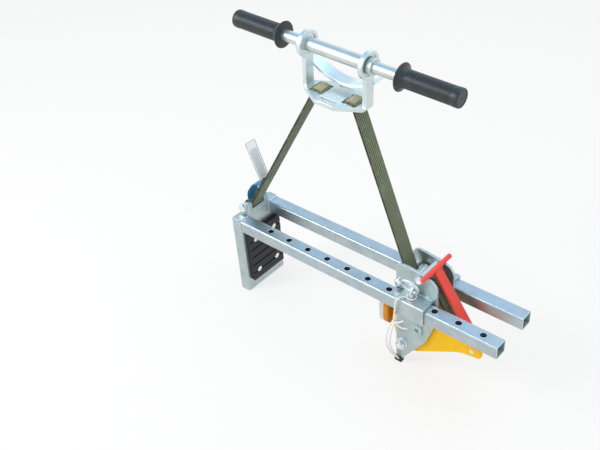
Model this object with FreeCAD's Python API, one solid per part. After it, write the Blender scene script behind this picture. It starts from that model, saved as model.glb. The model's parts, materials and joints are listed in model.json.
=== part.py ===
import FreeCAD, Part
import math
import os

from FreeCAD import Vector

os.makedirs("parts", exist_ok=True)

# Two-rail lifting tongs: a fixed jaw at the left end of the rails, a carriage with a
# self-tightening lever and shoe, and a webbing sling with a handlebar.
# Millimetres, +X along the rails towards the open ends, +Y to the rear, +Z up,
# origin on the ground under the middle of the part.

# Rails
RAIL_SIDE = 30.0
RAIL_WALL = 3.0
RAIL_CORNER = 4.5
RAIL_LENGTH = 642.0
RAIL_GAP = 63.0
RAIL_TOP = 205.0
HOLE_DIAMETER = 13.0
HOLE_PITCH = 52.5
HOLE_FROM_END = 37.0
HOLE_FROM_JAW = 60.0
LOCK_HOLE = 3

# Fixed jaw, its pad and the strap anchor
JAW_DEPTH = 24.0
JAW_WALL = 6.0
JAW_ABOVE_RAIL = 1.5
JAW_BEND = 5.0
PAD_THICK = 12.0
PAD_WIDTH = 100.0
PAD_HEIGHT = 132.0
PAD_BELOW_RAIL = 12.0
PAD_GROOVE_PITCH = 22.0
PAD_GROOVE = 4.0
PAD_SCREW_SPACING_Y = 60.0
PAD_SCREW_SPACING_Z = 88.0
PAD_SCREW_DIAMETER = 8.0
PAD_SCREW_HEAD = 14.0
PAD_SCREW_HEAD_HEIGHT = 5.0
PAD_SCREW_SUNK = 1.0
BRACKET_WIDTH = 62.0
BRACKET_HEIGHT = 27.5
BRACKET_WALL = 6.0
BRACKET_NOTCH = 38.0
BRACKET_NOTCH_HEIGHT = 8.0
ANCHOR_DIAMETER = 12.0
ANCHOR_ABOVE_JAW = 14.5
ANCHOR_FROM_END = 9.5

# Webbing
STRAP_WIDTH = 35.0
STRAP_THICK = 4.0
STRAP_GAP = 0.3
EYE_WALL = 3.0
LABEL_WIDTH = 33.0
LABEL_THICK = 1.4
LABEL_START = 18.0
LABEL_END = 86.0
LABEL_BULGE = 21.0
TAG_WIDTH = 28.0
TAG_LENGTH = 96.0
TAG_THICK = 1.6
TAG_LEAN = 19.0

# Yoke and handlebar
YOKE_X = -62.0
YOKE_THICK = 8.0
YOKE_HALF_LENGTH = 73.0
YOKE_LEG_WIDTH = 22.0
YOKE_BASE_HALF_WIDTH = 41.0
YOKE_BASE_FLAT = 22.0
YOKE_RISE = 81.0
YOKE_TILT = 2.5
YOKE_CORNER = 7.0
SLOT_FROM_END = 23.0
INNER_SLOT = 27.0
SLOT_WIDTH = 9.0
SLOT_EXTRA = 3.0
SPARE_SLOT_LENGTH = 33.0
SPARE_SLOT_WIDTH = 7.0
SPARE_SLOT_Y = 27.0
STRAP_PIVOT_DROP = 4.0
EYE_DIAMETER = 52.0
EYE_BORE = 40.0
BUSH_RECESS = 2.0
SLEEVE_DIAMETER = 26.0
SADDLE_WIDTH = 28.0
SADDLE_THICK = 5.0
SADDLE_OVERHANG = 3.0
SADDLE_LOW = 14.0
SADDLE_RISE = 27.0
BAR_Z = 652.0
BAR_DIAMETER = 22.0
BAR_WALL = 2.5
BAR_LENGTH = 492.0
BAR_OFFSET = 7.0
COLLAR_DIAMETER = 32.0
COLLAR_WIDTH = 10.0
COLLAR_GAP = 0.4
GRIP_DIAMETER = 34.0
BARE_BAR = 47.6
GRIP_END = 4.0
GRIP_FLANGE_DIAMETER = 51.6
GRIP_FLANGE = 3.5
GRIP_FLARE = 9.0
GRIP_RIM = 8.0
GRIP_RIM_DIAMETER = 35.0
GRIP_ROUND = 2.0

# Carriage: DX is measured from the lock bolt's axis, RISE from the rails' top
SLIDE_CLEARANCE = 0.4
CHEEK_THICK = 5.0
CHEEK_DX = -47.0
CHEEK_WIDTH = 94.0
CHEEK_ABOVE_RAIL = 62.0
CHEEK_CORNER = 14.0
CHEEK_REAR_CORNER = 25.0
CHEEK_KNEE_Z = 157.0
CHEEK_WAIST_DX = 24.5
CHEEK_WAIST_Z = 93.0
CHEEK_BEND = 30.0
CHEEK_TIP_WIDTH = 9.0
CHEEK_TIP_Z = 3.0
SLEEVE_DX = -25.5
SLEEVE_LENGTH = 64.0
SLEEVE_WALL = 4.0
SLEEVE_TOP_WALL = 6.0
SLEEVE_BEND = 4.0
BOSS_SIDE = 22.0
BOSS_HEIGHT = 4.0
BOSS_CORNER = 4.0
BOSS_HOLE = 10.0
BOSS_DX = 5.0
BOSS_Z = 116.0
FOOT_WALL = 2.5
FOOT_HEIGHT = 12.0
UPPER_SPACER_DX = 8.0
UPPER_SPACER_RISE = 46.0
LOWER_SPACER_DX = -40.5
LOWER_SPACER_RISE = 14.0
SPACER_DIAMETER = 15.0
SPACER_BOLT = 10.0
BOLT_PLAY = 0.15
HEX_FACE_RATIO = 0.95
LOW_ROLLER_DX = -12.9
LOW_ROLLER_RISE = 23.0
LOW_ROLLER_DIAMETER = 28.0
HIGH_ROLLER_DX = 25.5
HIGH_ROLLER_RISE = 8.0
HIGH_ROLLER_DIAMETER = 20.0
ROLLER_LENGTH = 44.0
AXLE_DIAMETER = 10.0
RUNNING_CLEARANCE = 0.05
LEG_TURN_ANGLE = 19.0

# Lock bolt with ring
LOCK_DIAMETER = 12.0
LOCK_STROKE = 7.0
LOCK_TIP_CLEAR = 0.4
LOCK_HEAD_HEIGHT = 11.0
LOCK_HEAD_WIDTH = 7.0
RING_RADIUS = 18.5
RING_WIRE = 5.0
RING_RISE = 16.5
RING_LEAN = 20.0

# Clamp lever, shoe and release handle: OUT and UP are measured from the lever's pivot
PIVOT_DX = -32.5
PIVOT_Z = 56.0
PIVOT_DIAMETER = 14.0
LEVER_PLATE = 6.0
LEVER_INSIDE = 36.0
HUB_DIAMETER = 26.0
# Corners of the lever's side plates from its pivot, each with its corner radius
LEVER_OUTLINE = [(-32.0, 65.0, 13.0), (-6.0, 65.0, 12.0), (6.0, 38.0, 14.0), (76.0, 82.0, 60.0),
                 (177.0, 77.0, 10.0), (177.0, 57.0, 7.0), (130.0, 49.0, 90.0), (30.0, -11.0, 50.0),
                 (2.0, -20.0, 12.0), (-13.0, -18.0, 12.0)]
SHOE_PIN_OUT = -19.0
SHOE_PIN_UP = 52.0
SHOE_PIN_DIAMETER = 12.0
SHOE_BACK_GAP = 17.0
SHOE_PLATE = 12.0
SHOE_WIDTH = 60.0
SHOE_BELOW_PIN = 30.0
SHOE_ABOVE_PIN = 42.0
SHOE_CORNER = 24.0
SHOE_LUG_RADIUS = 11.0
SHOE_LUG_WIDTH = 34.0
SHOE_PAD = 12.0
STRAP_BOLT_OUT = 122.0
STRAP_BOLT_UP = 58.0
STRAP_BOLT_DIAMETER = 10.0
HANDLE_PIN_OUT = 156.0
HANDLE_PIN_UP = 65.0
HANDLE_PIN_DIAMETER = 10.0
HANDLE_HUB_DIAMETER = 18.0
HANDLE_HUB_WIDTH = 34.0
HANDLE_BAR_WIDTH = 22.0
HANDLE_BAR_THICK = 6.0
T_BAR_DIAMETER = 10.0
T_BAR_LENGTH = 96.0
T_BAR_OUT = 56.0
T_BAR_CLEAR = 0.4

# Safety cord
CORD_DIAMETER = 3.5
CORD_EYE_GAP = 1.0
KNOT_DIAMETER = 9.0
KNOT_SHIFT = (-1.2, 1.2, -5.6)
# Routes, with X measured from the lock bolt's axis
CORD_DROP = [(-7.3, -52.0, 213.4), (-11.9, -58.6, 215.2), (-15.3, -65.0, 217.4), (-17.5, -71.4, 214.6),
             (-18.9, -74.2, 206.0), (-20.3, -73.4, 192.0), (-23.3, -70.4, 172.0), (-27.5, -66.0, 152.0)]
CORD_OUTER = [(-32.1, -63.4, 143.2), (-38.6, -64.0, 130.0), (-44.6, -63.4, 112.0), (-50.1, -61.6, 90.0),
              (-53.7, -57.6, 68.0), (-53.5, -52.6, 48.0), (-50.1, -46.6, 31.8), (-46.7, -40.4, 19.5),
              (-45.0, -33.5, 10.0)]
CORD_INNER = [(-28.9, -62.4, 141.8), (-32.9, -62.6, 128.0), (-38.5, -60.8, 109.0), (-43.9, -57.6, 86.0),
              (-48.1, -53.4, 64.3), (-48.7, -48.4, 46.8), (-44.9, -43.0, 30.0), (-40.7, -38.4, 17.6),
              (-38.5, -33.5, 9.0)]
CORD_TAILS = [[(-25.3, -66.4, 147.6), (-18.5, -68.6, 151.0), (-10.5, -69.6, 157.6), (-2.5, -69.4, 166.0)],
              [(-25.9, -66.0, 144.2), (-17.5, -66.6, 141.6), (-7.5, -65.8, 139.6), (2.5, -63.0, 141.6)]]

# Sizes that follow from the ones above
X_LEFT = -(RAIL_LENGTH + JAW_DEPTH) / 2
RAIL_LEFT = X_LEFT + JAW_DEPTH
RAIL_RIGHT = RAIL_LEFT + RAIL_LENGTH
RAIL_Y = (RAIL_GAP + RAIL_SIDE) / 2
RAIL_BOTTOM = RAIL_TOP - RAIL_SIDE
OUTER_Y = RAIL_GAP / 2 + RAIL_SIDE
HOLE_COUNT = int((RAIL_LENGTH - HOLE_FROM_END - HOLE_FROM_JAW) / HOLE_PITCH) + 1
LOCK_X = RAIL_RIGHT - HOLE_FROM_END - LOCK_HOLE * HOLE_PITCH
PIVOT_X = LOCK_X + PIVOT_DX
SHOE_PIN_X = PIVOT_X + SHOE_PIN_OUT
SHOE_PIN_Z = PIVOT_Z + SHOE_PIN_UP
STRAP_BOLT_X = PIVOT_X + STRAP_BOLT_OUT
STRAP_BOLT_Z = PIVOT_Z + STRAP_BOLT_UP
HANDLE_PIN_X = PIVOT_X + HANDLE_PIN_OUT
HANDLE_PIN_Z = PIVOT_Z + HANDLE_PIN_UP
T_BAR_X = PIVOT_X + T_BAR_OUT
CHEEK_LEFT = LOCK_X + CHEEK_DX
CHEEK_WAIST_X = LOCK_X + CHEEK_WAIST_DX
CHEEK_TOP_RADIUS = RAIL_TOP + CHEEK_ABOVE_RAIL - PIVOT_Z
SLEEVE_LEFT = LOCK_X + SLEEVE_DX
BOSS_X = LOCK_X + BOSS_DX
UPPER_SPACER_X = LOCK_X + UPPER_SPACER_DX
UPPER_SPACER_Z = RAIL_TOP + UPPER_SPACER_RISE
LOWER_SPACER_X = LOCK_X + LOWER_SPACER_DX
LOWER_SPACER_Z = RAIL_TOP + LOWER_SPACER_RISE
LOW_ROLLER_X = LOCK_X + LOW_ROLLER_DX
LOW_ROLLER_Z = RAIL_TOP + LOW_ROLLER_RISE
HIGH_ROLLER_X = LOCK_X + HIGH_ROLLER_DX
HIGH_ROLLER_Z = RAIL_TOP + HIGH_ROLLER_RISE
JAW_TOP = RAIL_TOP + JAW_ABOVE_RAIL
ANCHOR_X = X_LEFT + ANCHOR_FROM_END
ANCHOR_Z = JAW_TOP + ANCHOR_ABOVE_JAW
CHEEK_OUT = RAIL_GAP / 2 - SLIDE_CLEARANCE
CHEEK_IN = CHEEK_OUT - CHEEK_THICK
CHEEK_RIGHT = CHEEK_LEFT + CHEEK_WIDTH
OUTER_SLOT = YOKE_HALF_LENGTH - SLOT_FROM_END
YOKE_BASE_TOP = BAR_Z - YOKE_RISE
YOKE_BASE_BOTTOM = YOKE_BASE_TOP - YOKE_THICK
STRAP_PIVOT_Z = YOKE_BASE_BOTTOM - STRAP_PIVOT_DROP
SLEEVE_TOP = RAIL_TOP + SLIDE_CLEARANCE + SLEEVE_TOP_WALL
LEVER_OUT = LEVER_INSIDE / 2 + LEVER_PLATE
BAR_X = YOKE_X + BAR_OFFSET
GRIP_LENGTH = BAR_LENGTH / 2 + GRIP_END - YOKE_HALF_LENGTH - COLLAR_GAP - COLLAR_WIDTH - BARE_BAR
T_BAR_RADIUS = CHEEK_TOP_RADIUS + T_BAR_DIAMETER / 2 + T_BAR_CLEAR
T_BAR_Z = PIVOT_Z + math.sqrt(T_BAR_RADIUS ** 2 - T_BAR_OUT ** 2)


# Helpers
def box(x0, x1, y0, y1, z0, z1):
    return Part.makeBox(x1 - x0, y1 - y0, z1 - z0, Vector(x0, y0, z0))


def rod_x(x0, x1, y, z, radius):
    return Part.makeCylinder(radius, x1 - x0, Vector(x0, y, z), Vector(1, 0, 0))


def rod_y(x, y0, y1, z, radius):
    return Part.makeCylinder(radius, y1 - y0, Vector(x, y0, z), Vector(0, 1, 0))


def rod_z(x, y, z0, z1, radius):
    return Part.makeCylinder(radius, z1 - z0, Vector(x, y, z0), Vector(0, 0, 1))


def hexagon_y(x, y0, y1, z, across):
    """Hexagon prism along Y with the corners turned off at both ends, as on a bolt head or nut."""
    corner = across / math.sqrt(3)
    turns = [math.radians(30 + 60 * i) for i in range(6)]
    corners = [Vector(x + corner * math.cos(turn), y0, z + corner * math.sin(turn)) for turn in turns]
    prism = Part.Face(Part.makePolygon(corners + corners[:1])).extrude(Vector(0, y1 - y0, 0))
    face = HEX_FACE_RATIO * across / 2
    slope = (corner - face) * math.tan(math.radians(30))
    along = Vector(0, 1, 0)
    turned = join([Part.makeCone(face, corner, slope, Vector(x, y0, z), along),
                   Part.makeCylinder(corner, y1 - y0 - 2 * slope, Vector(x, y0 + slope, z), along),
                   Part.makeCone(corner, face, slope, Vector(x, y1 - slope, z), along)])
    return prism.common(turned)


def rounded_face(corners, place):
    """Closed face through corners (a, b, corner radius), with arcs there, set in space by place(a, b)."""
    count = len(corners)
    starts = []
    middles = []
    ends = []
    for i, (a, b, radius) in enumerate(corners):
        here = Vector(a, b, 0)
        back = Vector(*corners[i - 1][:2], 0) - here
        ahead = Vector(*corners[(i + 1) % count][:2], 0) - here
        back.normalize()
        ahead.normalize()
        half = back.getAngle(ahead) / 2
        reach = radius / math.tan(half)
        bisector = back + ahead
        bisector.normalize()
        starts.append(here + back * reach)
        middles.append(here + bisector * (radius / math.sin(half) - radius))
        ends.append(here + ahead * reach)
    edges = []
    for i in range(count):
        if corners[i][2] > 0:
            points = [place(p.x, p.y) for p in (starts[i], middles[i], ends[i])]
            edges.append(Part.Arc(*points).toShape())
        after = starts[(i + 1) % count]
        if (after - ends[i]).Length > 1e-6:
            edges.append(Part.LineSegment(place(ends[i].x, ends[i].y), place(after.x, after.y)).toShape())
    return Part.Face(Part.Wire(edges))


def upright_plate(corners, y0, y1):
    face = rounded_face(corners, lambda a, b: Vector(a, y0, b))
    return face.extrude(Vector(0, y1 - y0, 0))


def flat_plate(corners, z0, z1):
    face = rounded_face(corners, lambda a, b: Vector(a, b, z0))
    return face.extrude(Vector(0, 0, z1 - z0))


def on_circle(x, z, radius, degrees):
    turn = math.radians(degrees)
    return Vector(x + radius * math.cos(turn), 0, z + radius * math.sin(turn))


def arc_band(x, z, inner, outer, start, end, half_width):
    """Part of a ring about the Y axis through (x, z), from the start to the end angle in degrees."""
    middle = (start + end) / 2
    out_arc = Part.Arc(*[on_circle(x, z, outer, a) for a in (start, middle, end)]).toShape()
    in_arc = Part.Arc(*[on_circle(x, z, inner, a) for a in (end, middle, start)]).toShape()
    side_a = Part.LineSegment(on_circle(x, z, outer, end), on_circle(x, z, inner, end)).toShape()
    side_b = Part.LineSegment(on_circle(x, z, inner, start), on_circle(x, z, outer, start)).toShape()
    face = Part.Face(Part.Wire([out_arc, side_a, in_arc, side_b]))
    face.translate(Vector(0, -half_width, 0))
    return face.extrude(Vector(0, 2 * half_width, 0))


def strip(start, end, thick, half_width):
    """Flat strip with its middle line from start to end in the XZ plane and its width along Y."""
    along = end - start
    length = along.Length
    shape = Part.makeBox(length, 2 * half_width, thick, Vector(0, -half_width, -thick / 2))
    shape.rotate(Vector(0, 0, 0), Vector(0, 1, 0), -math.degrees(math.atan2(along.z, along.x)))
    shape.translate(start)
    return shape


def tangent_angle(x, z, radius, point, side):
    """Angle on the circle where a line from the outside point touches it; side +1 is anticlockwise."""
    away = point - Vector(x, 0, z)
    return math.degrees(math.atan2(away.z, away.x) + side * math.acos(radius / away.Length))


def tube_x(x0, x1, y, z, outer, inner):
    return rod_x(x0, x1, y, z, outer).cut(rod_x(x0, x1, y, z, inner))


def tube_y(x, y0, y1, z, outer, inner):
    return rod_y(x, y0, y1, z, outer).cut(rod_y(x, y0, y1, z, inner))


def join(shapes):
    return shapes[0].multiFuse(shapes[1:]).removeSplitter()


def round_edges(shape, radius, wanted):
    return shape.makeFillet(radius, [edge for edge in shape.Edges if wanted(edge)])


def along_x(edge, y, z):
    ends = [vertex.Point for vertex in edge.Vertexes]
    return len(ends) == 2 and all(abs(p.y - y) < 1e-4 and abs(p.z - z) < 1e-4 for p in ends)


def along_z(edge, x, y):
    ends = [vertex.Point for vertex in edge.Vertexes]
    return len(ends) == 2 and all(abs(p.x - x) < 1e-4 and abs(p.y - y) < 1e-4 for p in ends)


def mirrored(shape):
    return shape.mirror(Vector(0, 0, 0), Vector(0, 1, 0))


def cord(points, diameter, label):
    """Round cord on straight runs joined by tangent arcs, as large as the runs beside them allow."""
    route = [Vector(LOCK_X + x, y, z) for x, y, z in points]
    edges = []
    radii = []
    last = route[0]
    for before, here, after in zip(route, route[1:], route[2:]):
        back = before - here
        ahead = after - here
        reach = 0.45 * min(back.Length, ahead.Length)
        half = back.getAngle(ahead) / 2
        radius = reach * math.tan(half)
        back.normalize()
        ahead.normalize()
        bisector = back + ahead
        bisector.normalize()
        start = here + back * reach
        middle = here + bisector * (radius / math.sin(half) - radius)
        end = here + ahead * reach
        edges.append(Part.LineSegment(last, start).toShape())
        edges.append(Part.Arc(start, middle, end).toShape())
        radii.append(round(radius, 1))
        last = end
    edges.append(Part.LineSegment(last, route[-1]).toShape())
    path = Part.Wire(edges)
    section = Part.Wire(Part.makeCircle(diameter / 2, route[0], route[1] - route[0]))
    tube = path.makePipeShell([section], True, False)
    ratio = tube.Volume / (math.pi * diameter ** 2 / 4 * path.Length)
    print(label, "length", round(path.Length, 1), "volume ratio", round(ratio, 4), "radii", radii)
    return tube


PARTS = {}


def add(name, *solids):
    PARTS[name] = solids[0] if len(solids) == 1 else Part.makeCompound(list(solids))


# Rails
def rail(y):
    half = RAIL_SIDE / 2
    inside = half - RAIL_WALL
    low = RAIL_BOTTOM + RAIL_WALL
    high = RAIL_TOP - RAIL_WALL
    outer = box(RAIL_LEFT, RAIL_RIGHT, y - half, y + half, RAIL_BOTTOM, RAIL_TOP)
    outer = round_edges(outer, RAIL_CORNER, lambda e: abs(e.Length - RAIL_LENGTH) < 1e-4)
    return outer.cut(box(RAIL_LEFT, RAIL_RIGHT, y - inside, y + inside, low, high))


def front_rail():
    shape = rail(-RAIL_Y)
    low = RAIL_TOP - 2 * RAIL_WALL
    for i in range(HOLE_COUNT):
        x = RAIL_RIGHT - HOLE_FROM_END - i * HOLE_PITCH
        shape = shape.cut(rod_z(x, -RAIL_Y, low, RAIL_TOP + RAIL_WALL, HOLE_DIAMETER / 2))
    return shape


add("front_rail", front_rail())
add("rear_rail", rail(RAIL_Y))


# Fixed jaw: a channel with its web towards the load and a closed top
def fixed_jaw():
    outer = box(X_LEFT, RAIL_LEFT, -OUTER_Y, OUTER_Y, 0, JAW_TOP)
    outer = round_edges(outer, JAW_BEND, lambda e: any(along_z(e, RAIL_LEFT, y) for y in (-OUTER_Y, OUTER_Y)))
    inside = OUTER_Y - JAW_WALL
    hollow = box(X_LEFT, RAIL_LEFT - JAW_WALL, -inside, inside, 0, JAW_TOP - JAW_WALL)
    shape = outer.cut(hollow)
    for y, z in pad_screw_places():
        shape = shape.cut(rod_x(RAIL_LEFT - JAW_WALL, RAIL_LEFT, y, z, PAD_SCREW_DIAMETER / 2))
    return shape


def pad_middle():
    return RAIL_BOTTOM - PAD_BELOW_RAIL - PAD_HEIGHT / 2


def pad_screw_places():
    half_y = PAD_SCREW_SPACING_Y / 2
    half_z = PAD_SCREW_SPACING_Z / 2
    return [(y, pad_middle() + z) for y in (-half_y, half_y) for z in (-half_z, half_z)]


def jaw_pad():
    low = pad_middle() - PAD_HEIGHT / 2
    face = RAIL_LEFT + PAD_THICK
    shape = box(RAIL_LEFT, face, -PAD_WIDTH / 2, PAD_WIDTH / 2, low, low + PAD_HEIGHT)
    for i in range(1, int(PAD_HEIGHT / PAD_GROOVE_PITCH)):
        z = low + i * PAD_GROOVE_PITCH
        shape = shape.cut(box(face - PAD_GROOVE / 2, face, -PAD_WIDTH / 2, PAD_WIDTH / 2,
                              z - PAD_GROOVE / 2, z + PAD_GROOVE / 2))
    for y, z in pad_screw_places():
        seat = face - PAD_SCREW_SUNK - PAD_SCREW_HEAD_HEIGHT
        shape = shape.cut(rod_x(RAIL_LEFT, face, y, z, PAD_SCREW_DIAMETER / 2))
        shape = shape.cut(rod_x(seat, face, y, z, PAD_SCREW_HEAD / 2))
    return shape


def pad_screw(y, z):
    seat = RAIL_LEFT + PAD_THICK - PAD_SCREW_SUNK - PAD_SCREW_HEAD_HEIGHT
    shank = rod_x(RAIL_LEFT - JAW_WALL, seat, y, z, PAD_SCREW_DIAMETER / 2)
    return shank.fuse(rod_x(seat, seat + PAD_SCREW_HEAD_HEIGHT, y, z, PAD_SCREW_HEAD / 2)).removeSplitter()


add("fixed_jaw", fixed_jaw())
add("jaw_pad", jaw_pad())
add("jaw_pad_screws", *[pad_screw(y, z) for y, z in pad_screw_places()])


# Strap anchor: a folded bracket on the jaw's top, with a bolt through its ears
def anchor_bracket():
    half = BRACKET_WIDTH / 2
    top = JAW_TOP + BRACKET_HEIGHT
    web = box(RAIL_LEFT - BRACKET_WALL, RAIL_LEFT, -half, half, JAW_TOP, top)
    notch_low = JAW_TOP + BRACKET_NOTCH_HEIGHT
    notch_half = BRACKET_NOTCH / 2
    web = web.cut(box(RAIL_LEFT - BRACKET_WALL, RAIL_LEFT, -notch_half, notch_half, notch_low, top))
    ear_corners = [(X_LEFT, JAW_TOP, 0), (RAIL_LEFT, JAW_TOP, 0), (RAIL_LEFT, top, BRACKET_WALL / 2),
                   (X_LEFT, top - BRACKET_WALL, JAW_DEPTH / 2 - 1)]
    ears = [upright_plate(ear_corners, y, y + BRACKET_WALL) for y in (-half, half - BRACKET_WALL)]
    shape = join([web] + ears)
    return shape.cut(rod_y(ANCHOR_X, -half, half, ANCHOR_Z, ANCHOR_DIAMETER / 2))


def bolt_y(x, z, diameter, y0, y1, head, head_height):
    """Hexagon bolt along Y with its head in front of y0 and its end flush at y1."""
    shank = rod_y(x, y0, y1, z, diameter / 2)
    return shank.fuse(hexagon_y(x, y0 - head_height, y0, z, head)).removeSplitter()


def nut_y(x, z, diameter, y0, y1, across):
    return hexagon_y(x, y0, y1, z, across).cut(rod_y(x, y0, y1, z, diameter / 2))


def nut_height(diameter):
    return 0.7 * diameter


def across_flats(diameter):
    return 1.5 * diameter


def head_height(diameter):
    return 0.65 * diameter


add("anchor_bracket", anchor_bracket())
anchor_end = BRACKET_WIDTH / 2 + nut_height(ANCHOR_DIAMETER)
add("anchor_bolt", bolt_y(ANCHOR_X, ANCHOR_Z, ANCHOR_DIAMETER, -BRACKET_WIDTH / 2, anchor_end,
                          across_flats(ANCHOR_DIAMETER), head_height(ANCHOR_DIAMETER)))
add("anchor_nut", nut_y(ANCHOR_X, ANCHOR_Z, ANCHOR_DIAMETER, BRACKET_WIDTH / 2, anchor_end,
                        across_flats(ANCHOR_DIAMETER)))

# Lines of the webbing
EYE_INNER = ANCHOR_DIAMETER / 2 + RUNNING_CLEARANCE
EYE_MIDDLE = EYE_INNER + STRAP_THICK / 2
LEFT_PIVOT = Vector(YOKE_X - OUTER_SLOT, 0, STRAP_PIVOT_Z)
TILT = FreeCAD.Rotation(Vector(0, 1, 0), YOKE_TILT)
RIGHT_PIVOT = LEFT_PIVOT + TILT.multVec(Vector(2 * OUTER_SLOT, 0, 0))
LEFT_TOUCH = tangent_angle(ANCHOR_X, ANCHOR_Z, EYE_MIDDLE, LEFT_PIVOT, -1)
LEFT_FOOT = on_circle(ANCHOR_X, ANCHOR_Z, EYE_MIDDLE, LEFT_TOUCH)
LOW_INNER = LOW_ROLLER_DIAMETER / 2 + STRAP_GAP
LOW_MIDDLE = LOW_INNER + STRAP_THICK / 2
HIGH_INNER = HIGH_ROLLER_DIAMETER / 2 + STRAP_GAP
HIGH_MIDDLE = HIGH_INNER + STRAP_THICK / 2
RIGHT_TOUCH = tangent_angle(LOW_ROLLER_X, LOW_ROLLER_Z, LOW_MIDDLE, RIGHT_PIVOT, 1)
RIGHT_FOOT = on_circle(LOW_ROLLER_X, LOW_ROLLER_Z, LOW_MIDDLE, RIGHT_TOUCH)
HALF_STRAP = STRAP_WIDTH / 2


def tilted(shape):
    """The yoke and what it carries hang a little lower on the right, turned about the left strap's pivot."""
    shape.rotate(LEFT_PIVOT, Vector(0, 1, 0), YOKE_TILT)
    return shape


def strap_end(pivot):
    return rod_y(pivot.x, -HALF_STRAP, HALF_STRAP, pivot.z, STRAP_THICK / 2)


def left_leg():
    eye = rod_y(ANCHOR_X, -HALF_STRAP, HALF_STRAP, ANCHOR_Z, EYE_INNER + EYE_WALL)
    leg = strip(LEFT_FOOT, LEFT_PIVOT, STRAP_THICK, HALF_STRAP)
    shape = join([eye, leg, strap_end(LEFT_PIVOT)])
    return shape.cut(rod_y(ANCHOR_X, -HALF_STRAP, HALF_STRAP, ANCHOR_Z, EYE_INNER))


def right_leg():
    return join([strip(RIGHT_FOOT, RIGHT_PIVOT, STRAP_THICK, HALF_STRAP), strap_end(RIGHT_PIVOT)])


def beside_left_leg(along, out):
    """Point at a distance along the left leg from its foot, and out from its middle line to the left."""
    line = LEFT_PIVOT - LEFT_FOOT
    line.normalize()
    return LEFT_FOOT + line * along + Vector(-line.z, 0, line.x) * out


def label():
    start_out = STRAP_THICK / 2 + LABEL_THICK
    middle = (LABEL_START + LABEL_END) / 2
    points = [beside_left_leg(LABEL_START, start_out), beside_left_leg(middle, LABEL_BULGE),
              beside_left_leg(LABEL_END, start_out)]
    circle = Part.Arc(*points).toShape().Curve
    centre = circle.Center
    angles = [math.degrees(math.atan2(p.z - centre.z, p.x - centre.x)) % 360 for p in points]
    return arc_band(centre.x, centre.z, circle.Radius - LABEL_THICK / 2, circle.Radius + LABEL_THICK / 2,
                    angles[0], angles[2], LABEL_WIDTH / 2)


def tag():
    foot = beside_left_leg(LABEL_END + LABEL_THICK + TAG_THICK, STRAP_THICK / 2 + STRAP_GAP + TAG_THICK / 3)
    lean = math.radians(90 + TAG_LEAN)
    tip = foot + Vector(math.cos(lean), 0, math.sin(lean)) * TAG_LENGTH
    return strip(foot, tip, TAG_THICK, TAG_WIDTH / 2)


add("strap_left_leg", left_leg())
add("strap_right_leg", right_leg())
add("strap_label", label())
add("strap_tag", tag())


# Webbing in the yoke's slots: two loops over the base and one run below it
def strap_top():
    top = YOKE_BASE_TOP + STRAP_GAP
    low = YOKE_BASE_BOTTOM - STRAP_GAP
    pieces = []
    high = top + STRAP_THICK
    half = STRAP_THICK / 2
    for side in (-1, 1):
        outer = YOKE_X + side * OUTER_SLOT
        inner = YOKE_X + side * INNER_SLOT
        left = min(outer, inner) - half
        right = max(outer, inner) + half
        end = STRAP_PIVOT_Z + half + STRAP_GAP
        pieces.append(box(outer - half, outer + half, -HALF_STRAP, HALF_STRAP, end, high))
        pieces.append(box(inner - half, inner + half, -HALF_STRAP, HALF_STRAP, low - STRAP_THICK, high))
        pieces.append(box(left, right, -HALF_STRAP, HALF_STRAP, top, high))
    under_left = YOKE_X - INNER_SLOT
    under_right = YOKE_X + INNER_SLOT
    pieces.append(box(under_left, under_right, -HALF_STRAP, HALF_STRAP, low - STRAP_THICK, low))
    return round_edges(join(pieces), STRAP_THICK * 0.8, lambda e: abs(e.Length - STRAP_WIDTH) < 1e-4 and all(
        abs(v.Point.z - high) < 1e-4 for v in e.Vertexes))


add("strap_top", tilted(strap_top()))


# Yoke: slotted base plate, two legs and their eyes in one piece
def yoke_frame():
    flat = YOKE_BASE_FLAT
    wide = YOKE_BASE_HALF_WIDTH
    end = YOKE_LEG_WIDTH / 2
    reach = YOKE_HALF_LENGTH
    corners = [(-reach, -end, 0), (-flat, -wide, YOKE_CORNER), (flat, -wide, YOKE_CORNER), (reach, -end, 0),
               (reach, end, 0), (flat, wide, YOKE_CORNER), (-flat, wide, YOKE_CORNER), (-reach, end, 0)]
    base = flat_plate([(YOKE_X + a, b, r) for a, b, r in corners], YOKE_BASE_BOTTOM, YOKE_BASE_TOP)
    half_slot = HALF_STRAP + SLOT_EXTRA / 2
    for offset in (-OUTER_SLOT, -INNER_SLOT, INNER_SLOT, OUTER_SLOT):
        x = YOKE_X + offset
        base = base.cut(box(x - SLOT_WIDTH / 2, x + SLOT_WIDTH / 2, -half_slot, half_slot,
                            YOKE_BASE_BOTTOM, YOKE_BASE_TOP))
    spare_left = YOKE_X - SPARE_SLOT_LENGTH / 2
    spare_right = YOKE_X + SPARE_SLOT_LENGTH / 2
    for y in (-SPARE_SLOT_Y, SPARE_SLOT_Y):
        base = base.cut(box(spare_left, spare_right, y - SPARE_SLOT_WIDTH / 2, y + SPARE_SLOT_WIDTH / 2,
                            YOKE_BASE_BOTTOM, YOKE_BASE_TOP))
    pieces = [base]
    for x in (YOKE_X - reach, YOKE_X + reach - YOKE_THICK):
        pieces.append(box(x, x + YOKE_THICK, -end, end, YOKE_BASE_BOTTOM, BAR_Z))
        pieces.append(rod_x(x, x + YOKE_THICK, 0, BAR_Z, EYE_DIAMETER / 2))
    shape = join(pieces)
    shape = round_edges(shape, YOKE_CORNER, lambda e: abs(e.Length - YOKE_LEG_WIDTH) < 1e-4 and all(
        abs(v.Point.z - YOKE_BASE_BOTTOM) < 1e-4 for v in e.Vertexes))
    return shape.cut(rod_x(YOKE_X - reach, YOKE_X + reach, 0, BAR_Z, EYE_BORE / 2))


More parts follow.
